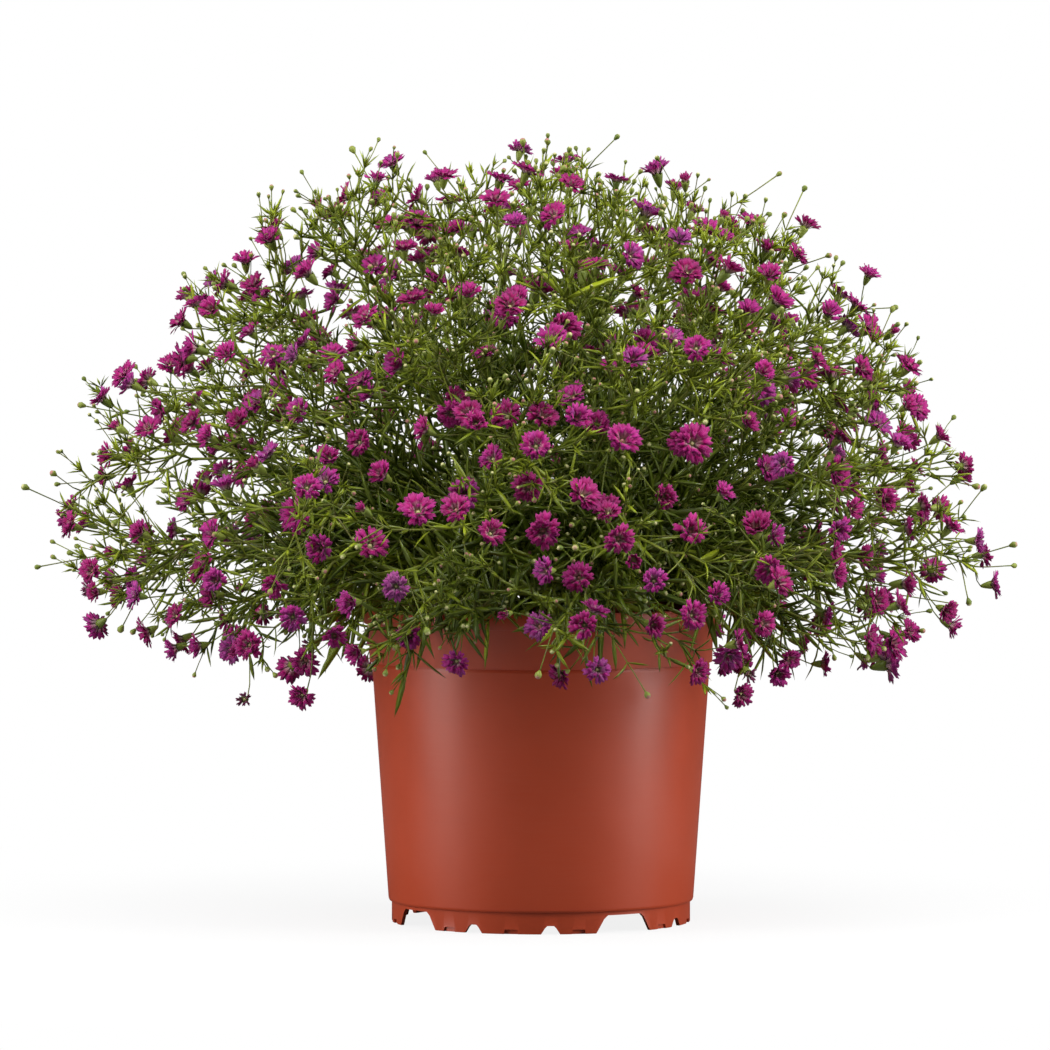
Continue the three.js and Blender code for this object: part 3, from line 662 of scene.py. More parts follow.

# %% Tips given one by one
# These stand out of the dome's outline, hang over the rim, or fill the low front
OUTER_BUDS = [
    (-170, -70, 149), (-169, -40, 121), (167, 66, 118), (154, 40, 147), (154, 60, 127),
    (-51, -10, 268), (-12, -20, 266), (27, 10, 267), (-65, 20, 263), (82, 0, 254),
    (89, -20, 249), (122, 10, 208), (-85, 0, 242), (-157, 0, 175), (-163, -40, 153),
    (-141, -30, 99), (-116, -50, 84), (0, 168, 128), (10, -167, 132), (60, 158, 140),
]
OUTER_BLOOMS = [
    (-148, -40, 113), (-77, -75, 92), (-102, -60, 95), (-114, -40, 95), (157, 50, 112),
    (139, 0, 100), (114, -30, 88), (66, -60, 80), (82, -50, 91), (73, -60, 103),
    (-18, -75, 89), (6, -72, 87), (-43, -72, 100), (2, -76, 104), (96, 10, 239),
    (111, 0, 219), (-50, 0, 256), (-7, 30, 262), (-147, -20, 177), (-156, -40, 135),
    (40, 74, 88), (-30, 78, 92), (90, 50, 92), (-80, 60, 90),
    (-39, -143, 142), (-16, -150, 136), (1, -150, 124), (-34, -137, 160), (-2, -140, 163),
    (-46, -146, 119), (24, -148, 134), (12, -146, 147), (35, -148, 121), (47, -146, 110),
    (15, -140, 108), (-12, -140, 110), (60, -50, 238), (85, -40, 225), (100, -30, 212),
    (75, 0, 238), (48, -30, 250), (-5, -40, 252), (25, -45, 250), (-35, -35, 250),
]
print("tips placed by hand:", len(OUTER_BUDS), "buds and", len(OUTER_BLOOMS), "blooms")

# %% A chain of draws
DRAW_FACTOR, DRAW_STEP, DRAW_RANGE = 1664525, 1013904223, 4294967296
draw_state = SEED


def draw():
    """The next even number from 0 to 1, the same in every run."""
    global draw_state
    draw_state = (DRAW_FACTOR * draw_state + DRAW_STEP) % DRAW_RANGE
    return draw_state / DRAW_RANGE


def nudge(size):
    """A small step any way, up to size along each axis."""
    x, y, z = draw() - 0.5, draw() - 0.5, draw() - 0.5
    return scaled((x, y, z), 2 * size)


print("ready to draw")

# %% Spread the tips
def golden_turn(i):
    """The angle of place i: turned on by the golden angle each time, places spread evenly."""
    return i * math.pi * (3 - math.sqrt(5))


def crown_place(i):
    """Where main stem i leaves the soil."""
    angle = golden_turn(i)
    radius = CROWN_RADIUS * math.sqrt((i + 0.5) / SPRAYS)
    return (radius * math.cos(angle), radius * math.sin(angle), float(SOIL_TOP))


def stem_radius(tips):
    return PEDICEL_RADIUS + THICKENING * math.sqrt(tips - 1)


def dome_reach(slope, azimuth):
    """The dome is drawn in low down, leans to the left, and swells and dips as in the picture."""
    degrees = math.degrees(math.asin(slope))
    drawn_in = 1 - DRAWN_IN * max(0, (DRAWN_IN_BELOW - degrees) / DRAWN_IN_OVER)
    lean = LEAN * math.cos(azimuth)
    swell = (WIDE_SWELL * math.sin(3 * azimuth + 4)
             + NARROW_SWELL * math.sin(5 * azimuth - 4 * slope))
    return DOME_REACH * drawn_in * (1 + lean + swell)


def keep_off_pot(point, room):
    """The point, moved out where it would be nearer to the lip than room."""
    flat = math.hypot(point[0], point[1])
    least = LIP_RADIUS + room
    if point[2] < LIP_TOP + room and flat < least:
        return (point[0] * (least / flat), point[1] * (least / flat), point[2])
    return point


def tip_at(point, kind):
    """A tip that faces out of the dome and a little up."""
    outward = unit(less(point, DOME_CENTRE))
    facing = unit(plus(plus(outward, UP, FACING_UP), nudge(FACING_STRAY)))
    return {"point": point, "kind": kind, "facing": facing}


def scatter_tips():
    """The tips placed by hand, then those spread evenly, where they don't touch another."""
    tips = [tip_at(tuple(map(float, place)), "bud") for place in OUTER_BUDS]
    tips += [tip_at(tuple(map(float, place)), "bloom") for place in OUTER_BLOOMS]
    for k in range(1, BLOOMS + BUDS + 1):
        a, b, c = ((0.5 + k / EVEN_SPREAD ** power) % 1 for power in (1, 2, 3))
        kind = "bud" if k % round(1 + BLOOMS / BUDS) == 0 else "bloom"
        azimuth = 2 * math.pi * a
        slope = LOWEST_SLOPE + (TOP_SLOPE - LOWEST_SLOPE) * b ** UPWARD_BIAS
        inner, outer = BUD_DEPTHS if kind == "bud" else BLOOM_DEPTHS
        c = c if kind == "bud" else c ** OUTWARD_BIAS
        share = (1 - c) * inner + c * outer
        level = math.sqrt(1 - slope * slope)
        way = (level * math.cos(azimuth), level * math.sin(azimuth), slope)
        offset = plus(scaled(way, share * dome_reach(slope, azimuth)), nudge(TIP_STRAY))
        far = size_of(offset)
        point = plus(scaled(scaled(offset, 1 / far), min(MOST_REACH, far)), DOME_CENTRE)
        point = keep_off_pot(point, BLOOM_RADIUS + OFF_THE_POT)
        tip = tip_at(point, kind)
        if all(apart(other["point"], point) >= 2 * BLOOM_RADIUS + TIP_GAP for other in tips):
            tips.append(tip)
    return tips


def spray_direction(i):
    """The way that spray i leans; all of them share out the dome."""
    slope = 1 - (1 - LOWEST_SLOPE) * ((i + 0.5) / SPRAYS)
    angle = golden_turn(i)
    level = math.sqrt(1 - slope * slope)
    return (level * math.cos(angle), level * math.sin(angle), slope)


all_tips = scatter_tips()
print("tips spread:", len(all_tips))

# %% [markdown]
# Before a stretch of stem or a bloom takes its place, it is tested against everything that is
# already there. Compared one by one, the thousands of tests would take minutes, so all stretches
# are kept in arrays, and one test compares a new stretch with all the old ones in one go.

# %% Keep stretches clear of one another
MOST_STRETCHES = 9000
RIM_WIDTH, OFF_THE_RIM, OFF_THE_SOIL, STEPS = 6, 1, 0.4, 8


class Room:
    """Every stretch placed so far, with its thickness and what it grows from."""

    def __init__(self):
        self.ends = np.zeros((MOST_STRETCHES, 2, 3))
        self.radius = np.zeros(MOST_STRETCHES)
        self.owner = np.full((MOST_STRETCHES, 2), -1)
        self.count = 0

    def take(self, a, b, radius, node, parent):
        self.ends[self.count] = (a, b)
        self.radius[self.count] = radius
        self.owner[self.count] = (node["number"] if node else -1,
                                  parent["number"] if parent else -2)
        self.count += 1

    def is_clear(self, a, b, radius, parent):
        """Whether a stretch from a to b touches neither the pot nor what doesn't join parent."""
        if hits_pot(a, b, radius):
            return False
        n = self.count
        if n == 0:
            return True
        a, u = np.array(a), np.array(less(b, a))
        c = self.ends[:n, 0]
        v = self.ends[:n, 1] - c
        w = a - c
        uu, vv = max(float(u @ u), 1e-9), np.maximum((v * v).sum(1), 1e-9)
        uv, uw, vw = v @ u, w @ u, (v * w).sum(1)
        flat = np.maximum(uu * vv - uv * uv, 1e-9)
        first = np.clip((uv * vw - vv * uw) / flat, 0, 1)
        t = np.clip((uv * first + vw) / vv, 0, 1)
        s = np.clip((uv * t - uw) / uu, 0, 1)
        gap = np.linalg.norm(w + u * s[:, None] - v * t[:, None], axis=1)
        clear = gap >= radius + self.radius[:n] + CLEAR
        if parent:
            clear |= (self.owner[:n] == parent["number"]).any(1)
        return bool(clear.all())


def hits_pot(a, b, radius):
    for i in range(STEPS + 1):
        x, y, z = plus(a, less(b, a), i / STEPS)
        flat = math.hypot(x, y)
        by_the_rim = LIP_RADIUS - RIM_WIDTH - radius < flat < LIP_RADIUS + OFF_THE_RIM + radius
        if by_the_rim and z < LIP_TOP + OFF_THE_RIM + radius:
            return True
        if flat < LIP_RADIUS and z < SOIL_TOP + OFF_THE_SOIL + radius:
            return True
    return False


room = Room()
node_count = 0


def new_node(kind, at, direction, radius):
    global node_count
    node_count += 1
    return {"number": node_count, "kind": kind, "at": at, "direction": direction,
            "radius": radius, "children": [], "leaves": []}


def find_place(parent, wish, radius, tries):
    """The first place near the wish that a stem from parent reaches without touching."""
    for i in range(tries):
        place = plus(wish, nudge(STRAY * (i / tries)))
        if room.is_clear(parent["at"], place, radius, parent):
            return place
    return None


print("ready to grow")

# %% Grow a tip, a fork and a main stem
def grow_tip(parent, tip):
    """A stalk with a bloom or bud, left out where it finds no room in all its tries."""
    for i in range(TIP_TRIES):
        point = plus(tip["point"], nudge(TIP_WANDER * i))
        way = unit(less(point, parent["at"]))
        bloom = tip["kind"] == "bloom"
        axis = unit(plus(tip["facing"], way, FACING_SHARE)) if bloom else way
        at = plus(point, axis, -(CALYX_LENGTH if bloom else BUD_LENGTH))
        end = plus(point, axis, -1) if bloom else point
        breadth = BLOOM_RADIUS if bloom else BUD_RADIUS
        has_room = (room.is_clear(parent["at"], at, PEDICEL_RADIUS, parent)
                    and room.is_clear(end, end, breadth, None))
        if has_room:
            node = new_node(tip["kind"], at, axis, PEDICEL_RADIUS)
            room.take(parent["at"], at, PEDICEL_RADIUS, node, parent)
            room.take(end, end, breadth, node, None)
            parent["children"].append(node)
            return


def grow_fork(parent, tips, tasks):
    """A stem to a fork that stands before its tips; tasks holds the forks still to share out."""
    points = [tip["point"] for tip in tips]
    middle = middle_of(points)
    way = less(middle, parent["at"])
    distance = size_of(way)
    way = scaled(way, 1 / distance)
    spread = sum(apart(point, middle) for point in points) / len(tips)
    nearest = min(dot(less(point, parent["at"]), way) for point in points)
    length = max(min(distance - FORK_SETBACK * spread, nearest - LAST_STRETCH), SHORTEST_STRETCH)
    radius = stem_radius(len(tips))
    at = None
    for reach in (length, 0.6 * length, 0.5 * (length + distance)):
        wish = plus(plus(parent["at"], way, reach), parent["direction"], MOMENTUM * reach)
        at = find_place(parent, wish, radius, FORK_TRIES)
        if at:
            break
    if not at:
        return
    node = new_node("fork", at, unit(less(at, parent["at"])), radius)
    room.take(parent["at"], at, radius, node, parent)
    parent["children"].append(node)
    tasks.append((node, tips))


def share_out(node, tips, tasks):
    """The easiest tip gets a stalk of its own, and the others part into two arms."""
    def effort(tip):
        way = less(tip["point"], node["at"])
        return size_of(way) * (TURN_EFFORT - dot(way, node["direction"]) / size_of(way))

    own, *rest = sorted(tips, key=effort)
    groups = [[own]]
    if rest:
        middle = middle_of([tip["point"] for tip in rest])
        one_end = max(rest, key=lambda tip: apart(tip["point"], middle))["point"]
        other_end = max(rest, key=lambda tip: apart(tip["point"], one_end))["point"]
        across = less(other_end, one_end)
        ordered = sorted(rest, key=lambda tip: dot(tip["point"], across))
        half = math.ceil(len(ordered) / 2)
        groups += [ordered[:half], ordered[half:]]
    for group in groups:
        if len(group) == 1:
            grow_tip(node, group[0])
        if len(group) > 1:
            grow_fork(node, group, tasks)


def grow_main_stem(spray, tasks):
    """Up from the soil through a collar, then out to a joint under the middle of its tips."""
    middle = middle_of([tip["point"] for tip in spray["tips"]])
    x, y, _ = spray["at"]
    collar = new_node("collar", (x, y, float(SOIL_TOP + COLLAR_HEIGHT)), UP, spray["radius"])
    room.take(spray["at"], collar["at"], spray["radius"], collar, None)
    shoulder = (SHOULDER_PULL * middle[0] + SHOULDER_INSET * x,
                SHOULDER_PULL * middle[1] + SHOULDER_INSET * y,
                SOIL_TOP + SHOULDER_RISE + SHOULDER_LIFT * (middle[2] - SOIL_TOP))
    at = find_place(collar, shoulder, spray["radius"], SHOULDER_TRIES)
    node = new_node("joint", at, unit(less(at, collar["at"])), spray["radius"])
    room.take(collar["at"], at, spray["radius"], node, collar)
    collar["children"].append(node)
    spray["collar"] = collar
    tasks.append((node, spray["tips"]))


print("rules for tips, forks and main stems are set")

# %% Share out the sides of a fork and grow its leaves
def share_sides(node):
    """Turns the three sides of a fork so that each arm leaves from the middle of its own."""
    children, facing = node["children"], node["direction"]
    for child in children:
        facing = plus(facing, unit(less(child["at"], node["at"])), ARM_PULL / len(children))
    node["facing"] = facing = unit(facing)
    level = UP if abs(facing[2]) < 0.9 else (1.0, 0.0, 0.0)
    u = unit(cross(facing, level))
    v = cross(facing, u)

    def angle_of(child):
        way = less(child["at"], node["at"])
        return math.atan2(dot(way, v), dot(way, u))

    third = 2 * math.pi / 3
    children.sort(key=angle_of)
    if len(children) == 2 and angle_of(children[1]) - angle_of(children[0]) > math.pi:
        children.reverse()
    offsets = [angle_of(child) - third * k for k, child in enumerate(children)]
    turn = math.atan2(sum(map(math.sin, offsets)), sum(map(math.cos, offsets)))
    node["sides"] = [plus(scaled(u, math.cos(turn + third * k)), v, math.sin(turn + third * k))
                     for k in range(3)]


def grow_leaves(node):
    """At some forks a leaf beside an arm, where there is room for it."""
    facing = node["facing"]
    for k, child in enumerate(node["children"]):
        share = ARM_LEAVES if child["kind"] == "fork" else STALK_LEAVES
        if draw() > share:
            continue
        arm = less(child["at"], node["at"])
        bend = math.acos(limited(dot(arm, facing) / size_of(arm), -1, 1))
        lean = limited(bend + LEAF_BEND, *LEAF_LEAN)
        length = (LEAF_LENGTH + LEAF_GAIN * (node["radius"] - PEDICEL_RADIUS)
                  + LEAF_STRAY * draw())
        for i in range(LEAF_TRIES):
            way = plus(scaled(facing, math.cos(lean)), node["sides"][k], math.sin(lean))
            way = unit(plus(way, nudge(0.08 + 0.08 * i)))
            start, tip = plus(node["at"], way, LEAF_START), plus(node["at"], way, length)
            if room.is_clear(start, tip, LEAF_ROOM, node):
                room.take(start, tip, LEAF_ROOM, None, node)
                node["leaves"].append((way, length))
                break


def grow_plant():
    """Gives each tip to the spray that leans its way, then grows all sprays fork by fork."""
    sprays = [{"at": crown_place(i), "direction": spray_direction(i), "tips": []}
              for i in range(SPRAYS)]
    for tip in all_tips:
        way = unit(less(tip["point"], DOME_CENTRE))
        max(sprays, key=lambda spray: dot(spray["direction"], way))["tips"].append(tip)
    tasks = []
    for spray in sprays:
        spray["radius"] = stem_radius(len(spray["tips"]))
        grow_main_stem(spray, tasks)
    for node, tips in tasks:
        share_out(node, tips, tasks)
    for node, _ in tasks:
        share_sides(node)
        grow_leaves(node)
    return sprays


def all_below(node):
    yield node
    for child in node["children"]:
        yield from all_below(child)


sprays = grow_plant()
kinds = [node["kind"] for spray in sprays for node in all_below(spray["collar"])]
print({kind: kinds.count(kind) for kind in sorted(set(kinds))})
print("leaves:", sum(len(n["leaves"]) for s in sprays for n in all_below(s["collar"])))

# %% [markdown]
# Does it match? Each packed spray's box is compared with the box of the points that grew here. A
# leaf's or a petal's edge stands a few millimetres out of those points, and no more.

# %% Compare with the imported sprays
def widest_difference():
    """The most that a packed spray stands out of its points, or the points out of it."""
    worst = 0
    for name, spray in zip(sprays_packed, sprays):
        low, high = (np.array(corner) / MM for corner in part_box(name))
        ends = []
        for node in all_below(spray["collar"]):
            reach = {"bloom": CALYX_LENGTH, "bud": BUD_LENGTH}.get(node["kind"], 0)
            ends.append(plus(node["at"], node["direction"], reach))
        ends = np.array(ends)
        worst = max(worst, *(ends.min(0)[:2] - low[:2]), *(high[:2] - ends.max(0)[:2]),
                    *(low[:2] - ends.min(0)[:2]), *(ends.max(0) - high))
    return worst


print("widest difference in mm:", round(float(widest_difference()), 1))

# %% [markdown]
# ## Stems as curves
# In the solid a stem runs straight from fork to fork. A real one leaves its fork in the old
# direction and bends over, so each stretch is a smooth curve between the same two ends. Blender's
# own curves with a round bevel would do for ten stems. For thousands, blocks of numbers are far
# faster, and every curve becomes a thin closed tube that swells a little at its joints. Real stalks
# are thinner than the solid's, which keeps a printable thickness, so here they are slimmed down.

# %% Curves and tubes
SLIMNESS = 0.6
START_SWELLING, END_SWELLING, SWELLING_REACH = 0.3, 0.25, 0.06
growth = np.random.default_rng(5)


def units(vectors):
    return vectors / np.maximum(np.linalg.norm(vectors, axis=-1, keepdims=True), 1e-9)


def on_curve(curve, t):
    """Points of curves, given as start, start pull, end and end pull, at the shares t."""
    start, pull, end, end_pull = (part[..., None, :] for part in curve)
    t = np.asarray(t)[:, None]
    return (start * (2 * t ** 3 - 3 * t ** 2 + 1) + pull * (t ** 3 - 2 * t ** 2 + t)
            + end * (3 * t ** 2 - 2 * t ** 3) + end_pull * (t ** 3 - t ** 2))


def heading_on(curve, t):
    """The directions of curves at the shares t."""
    start, pull, end, end_pull = (part[..., None, :] for part in curve)
    t = np.asarray(t)[:, None]
    return units(start * (6 * t ** 2 - 6 * t) + pull * (3 * t ** 2 - 4 * t + 1)
                 + end * (6 * t - 6 * t ** 2) + end_pull * (3 * t ** 2 - 2 * t))


def square_to(directions):
    """For each direction two unit vectors square to it and to each other."""
    lean = np.where(np.abs(directions[..., 2:]) < 0.9, np.array([0, 0, 1.0]), np.array([1.0, 0, 0]))
    u = units(np.cross(directions, lean))
    return u, np.cross(directions, u)


def wall_faces(rings, sides):
    """Faces of the wall through rings of corners that follow one another."""
    return [(low + j, low + (j + 1) % sides, low + sides + (j + 1) % sides, low + sides + j)
            for low in range(0, (rings - 1) * sides, sides) for j in range(sides)]


def add_tubes(skin, strokes, rings, sides):
    """strokes: rows of start, pull, end, end pull, start and end thickness, and tone."""
    if not strokes:
        return
    rows = np.array([np.concatenate(stroke) for stroke in strokes])
    curve = [rows[:, i:i + 3] for i in (0, 3, 6, 9)]
    t = np.linspace(0, 1, rings)
    middle, heading = on_curve(curve, t), heading_on(curve, t)
    u, _ = square_to(units(curve[2] - curve[0]))
    u = units(u[:, None] - heading * (u[:, None] * heading).sum(-1, keepdims=True))
    v = np.cross(heading, u)
    radius = rows[:, 12:13] * (1 - t) + rows[:, 13:14] * t
    radius = radius * (1 + START_SWELLING * np.exp(-t / SWELLING_REACH)
                       + END_SWELLING * np.exp(-(1 - t) / SWELLING_REACH))
    angle = around(sides)
    ring = u[:, :, None] * np.cos(angle)[:, None] + v[:, :, None] * np.sin(angle)[:, None]
    points = (middle[:, :, None] + ring * radius[:, :, None, None]).reshape(len(rows), -1, 3)
    faces = [tuple(reversed(range(sides))), *wall_faces(rings, sides),
             tuple(range((rings - 1) * sides, rings * sides))]
    skin.add(points, faces, along=np.repeat(t, sides)[None], tone=rows[:, 14:15])


print("tubes are ready")

# %% [markdown]
# ## Leaves
# The leaves are narrow blades in opposite pairs, long and dark with painted shade low down, and
# only a few millimetres long and yellow-green near the blooms. A flat strip would vanish where it
# is seen edge on. So each blade is closed, with two edges and a keel under its middle, and it bends
# back or up along its length. The shorter it is, the fewer steps it needs.

# %% Blades
# Each blade: its steps along, and its share of the full width at each
LONG_BLADE = [(0.0, 0.34), (0.25, 0.82), (0.52, 1.0), (0.78, 0.74)]
BLADE = [(0.0, 0.36), (0.36, 1.0), (0.72, 0.8)]
SMALL_BLADE = [(0.0, 0.4), (0.5, 1.0)]
CUPPING, KEEL = 0.25, 0.18


def add_blades(skin, blades, shape):
    """blades: rows of base, way, upper side, length, half width, arch and tone."""
    if not blades:
        return
    rows = np.array([np.concatenate(blade) for blade in blades])
    base, way, upper = rows[:, 0:3], rows[:, 3:6], rows[:, 6:9]
    length, half, arch, tone = (rows[:, i:i + 1] for i in (9, 10, 11, 12))
    side = units(np.cross(way, upper))
    upper = np.cross(side, way)
    corners, along, across = [], [], []
    for share, wide in shape:
        middle = base + way * length * share - upper * length * arch * share ** 2
        edge = half * wide
        cupped = middle + upper * CUPPING * edge
        corners += [cupped - side * edge, middle - upper * (KEEL + CUPPING * edge),
                    cupped + side * edge]
        along += [share] * 3
        across += [-1, 0, 1]
    corners.append(base + way * length - upper * length * arch)
    along.append(1)
    across.append(0)
    last = 3 * len(shape) - 3
    faces = [(2, 1, 0), *wall_faces(len(shape), 3)]
    faces += [(last + j, last + (j + 1) % 3, last + 3) for j in range(3)]
    skin.add(np.stack(corners, 1), faces, along, across, tone)


print("blades are ready")

# %% [markdown]
# ## Buds, calyxes and petals
# A bud is a green egg about as long as a grain of rice is thick, on a hair-thin stalk. An open
# bloom is double: up to four whorls of wedge-shaped petals with notched ends stand in a green,
# toothed calyx. One modelled bloom could be copied to every stalk, but then all would be alike, so
# each petal is made to its own measures. The calyx and bud are outlines turned in a few steps. A
# petal is laid out flat, as an outline round a raised middle, then bent over along its length:
# outer petals lie almost level, inner ones stand up.

# %% Turned forms on any axis
def add_turned(skin, places, outline, sides, teeth=0.0):
    """places: rows of base, axis, size and tone; outline: radius and height of each ring."""
    if not places:
        return
    rows = np.array([np.concatenate(place) for place in places])
    base, axis, size, tone = rows[:, 0:3], rows[:, 3:6], rows[:, 6:7], rows[:, 7:8]
    u, v = square_to(axis)
    corners, along = [base + axis * size * outline[0][1]], [0.0]
    widest, top = (max(column) for column in zip(*outline))
    for radius, height in outline[1:-1]:
        for j, angle in enumerate(around(sides)):
            rise = teeth * (j % 2) if radius == widest else 0
            corners.append(base + axis * size * (height + rise)
                           + (u * math.cos(angle) + v * math.sin(angle)) * size * radius)
            along.append(height / top)
    corners.append(base + axis * size * outline[-1][1])
    along.append(1.0)
    skin.add(np.stack(corners, 1), turned_faces(outline, sides), along=along, tone=tone)


BUD_OUTLINE = [(0, 0), (0.5, 0.25), (1.28, 1.9), (0.85, 2.9), (0, 3.25)]
CALYX_OUTLINE = [(0, -0.1), (0.4, 0), (0.8, 0.7), (1.2, 1.9), (1.5, 3.1), (1.62, 3.55),
                 (1.0, 3.3), (0.5, 4.3), (0, 4.6)]
CALYX_TEETH = 0.9
print("turned forms are ready")

# %% Petals
# The outline of a petal: shares along, and across from one edge, -1, to the other, 1
PETAL_OUTLINE = [(0.0, -0.2), (0.0, 0.2), (0.5, 0.72), (0.88, 1.0), (1.02, 0.55), (0.88, 0.0),
                 (1.02, -0.5), (0.88, -1.0), (0.5, -0.72)]
PETAL_CORNERS = len(PETAL_OUTLINE)
PETAL_MIDDLE, PETAL_THICKNESS, PETAL_FOOT = 0.48, 0.16, 0.55
# For each point of a petal: its share along, its share across, and above or below the middle
PETAL_LAYOUT = np.array([(*corner, 0.0) for corner in PETAL_OUTLINE]
                        + [(PETAL_MIDDLE, 0.0, 0.5), (PETAL_MIDDLE, 0.0, -0.5)])
EDGE_WAVE, EDGE_TWIST = 0.16, 0.55


def add_petals(skin, petals):
    """petals: rows of mouth, outward, axis, length, half width, flare, lift, tone and curl."""
    rows = np.array([np.concatenate(petal) for petal in petals])
    mouth, outward, axis = (rows[:, None, i:i + 3] for i in (0, 3, 6))
    length, half, flare, lift, tone, curl = (rows[:, i:i + 1] for i in range(9, 15))
    side = np.cross(axis, outward)
    along, across, thick = (PETAL_LAYOUT[:, i][None] for i in range(3))
    bend = flare * (0.5 + 0.5 * along)
    out = PETAL_FOOT + length * along * np.sin(bend)
    up = lift + length * along * np.cos(bend) + curl * across ** 2 * along
    up = up + EDGE_WAVE * np.sin(7 * across + 9 * tone + 40 * curl) * along ** 2
    up = up + EDGE_TWIST * np.sin(60 * curl) * across * along
    normal = outward * -np.cos(bend)[..., None] + axis * np.sin(bend)[..., None]
    points = (mouth + outward * out[..., None] + axis * up[..., None]
              + side * (across * half)[..., None]
              + normal * (thick * PETAL_THICKNESS)[..., None])
    corners = [(c, (c + 1) % PETAL_CORNERS) for c in range(PETAL_CORNERS)]
    faces = [(c, d, PETAL_CORNERS) for c, d in corners]
    faces += [(d, c, PETAL_CORNERS + 1) for c, d in corners]
    skin.add(points, faces, along, across, tone)


# Each whorl: petals, length, half width, flare in radians, lift above the calyx's foot
WHORLS = {
    "open": [(9, 5.0, 1.20, 1.12, 3.0), (8, 4.6, 1.10, 0.92, 3.1), (6, 3.7, 0.90, 0.74, 3.1),
             (4, 2.4, 0.60, 0.62, 3.1)],
    "half": [(8, 4.9, 1.20, 0.84, 2.9), (7, 4.6, 1.00, 0.55, 3.0), (5, 3.4, 0.75, 0.40, 3.0)],
    "young": [(6, 3.8, 0.85, 0.36, 2.5), (4, 3.5, 0.65, 0.18, 2.6)],
    "withered": [(7, 3.2, 0.6, 0.75, 2.9), (6, 2.8, 0.5, 0.40, 2.9)],
}
# Each stage, and the share of all blooms that are in it or in a stage before it in this list
STAGES = [("open", 0.62), ("half", 0.92), ("young", 0.98), ("withered", 1.0)]
print("petals in each stage:", {stage: sum(count for count, *_ in WHORLS[stage])
                                for stage in WHORLS})

# %% [markdown]
# ## Leafy shoots
# The solid has the main stems, forks, leaves and every bloom. Between them the real plant has many
# short side shoots: at each joint stands a pair of leaves, from many joints a shoot comes that
# forks once more, and it ends in a tuft of tiny leaves with a bud on a long hair of a stalk. They
# are what makes the dome look full. Leaves could be strewn over the stems at random, but real ones
# stand only at joints. So each stretch of stem now gets joints, leaves and shoots, fewer and longer
# ones inside, more and shorter ones towards the outside. Low on the main stems yet more shoots
# grow, as undergrowth in the crown and as a skirt that leans over the rim.

# %% Where a point lies in the dome
LEAST_LUSH, TOP_LUSH, RIGHT_LUSH = 0.48, 0.75, 0.6
# Painted shade: deep inside the dome a leaf's tone is held down to this share
DEEPEST_PAINTED_SHADE = 0.12
SHOOTS_REACH, TOP_SHOOTS_REACH = 0.87, 0.09


def dome_share(point):
    """How far out a point lies: 0 in the dome's centre, 1 on its outline."""
    offset = np.asarray(point) - DOME_CENTRE
    reach = float(np.linalg.norm(offset))
    if reach < 1e-6:
        return 0.0
    slope = limited(offset[2] / reach, -0.5, 0.999)
    return reach / dome_reach(slope, math.atan2(offset[1], offset[0]))


def outward_from(point):
    offset = np.asarray(point) - DOME_CENTRE
    return offset / max(float(np.linalg.norm(offset)), 1e-6)


def way_round(direction, turn):
    u, v = square_to(direction)
    return u * math.cos(turn) + v * math.sin(turn)


def steered(direction, pull, scatter):
    mixed = direction + pull + growth.normal(0, scatter, 3)
    return mixed / float(np.linalg.norm(mixed))


def lushness(point):
    """How thick the shoots stand: thickest on top of the dome and at its right shoulder."""
    right, _, lift = outward_from(point)
    return LEAST_LUSH + TOP_LUSH * limited(lift / 0.85, 0, 1) + RIGHT_LUSH * right * (lift - 0.3)


def painted_shade_limit(point):
    """The lightest a leaf may be: dark low inside, as painted shade, yellow-green at the outside.
    """
    return limited(2.4 * dome_share(point) - 1.3, DEEPEST_PAINTED_SHADE, 1)


def shoot_limit(point):
    """How far out leafy shoots go: nearly to the outline on top, less far low at the sides."""
    lift = float(outward_from(point)[2])
    return SHOOTS_REACH + TOP_SHOOTS_REACH * limited(lift / 0.4, 0, 1)


print("share of the dome at its top:", round(dome_share(plus(DOME_CENTRE, UP, DOME_REACH)), 2))

# %% Order leaves and buds
# Lengths are in millimetres, a lean in radians, and a size in parts of a full-grown bud's
LONGEST_SMALL_BLADE, LONGEST_MIDDLE_BLADE = 7, 18
BLADE_HALF_WIDTH, SOLID_BLADE_HALF_WIDTH, BLADE_WIDENING = 0.18, 0.30, 0.045
BLADE_ARCH, SOLID_BLADE_ARCH = (-0.24, 0.34), 0.1
# Within so many millimetres of the rim, painted shade holds a leaf's tone down no lower than the
# second number
BY_THE_RIM, PAINTED_SHADE_BY_THE_RIM = 20, 0.6
PAIR_LEAN, TUFT_LEAN, INNER_TUFT_LEAN = (0.6, 1.05), (0.25, 0.6), (0.2, 0.5)
TUFT_LEAF, INNER_TUFT_LEAF, TUFT_BUDS = (4.0, 7.0), (2.5, 4.5), 0.7
TUFT_BUD_STALK, SIDE_BUD_STALK = (4, 13), (5, 13)
HAIR_THICKNESS, SIDE_BUD_SIZE = (0.20, 0.17), (0.5, 0.8)


class Orders:
    """What one spray is made of, gathered before any mesh is laid."""

    def __init__(self):
        self.thick, self.thin, self.hair = [], [], []
        self.long_blades, self.blades, self.small_blades = [], [], []
        self.buds, self.blooms = [], []

    def blades_for(self, length):
        if length > LONGEST_MIDDLE_BLADE:
            return self.long_blades
        return self.blades if length > LONGEST_SMALL_BLADE else self.small_blades


def order_stem(group, curve, start_radius, end_radius, tone):
    group.append((*curve, (start_radius, end_radius, tone)))


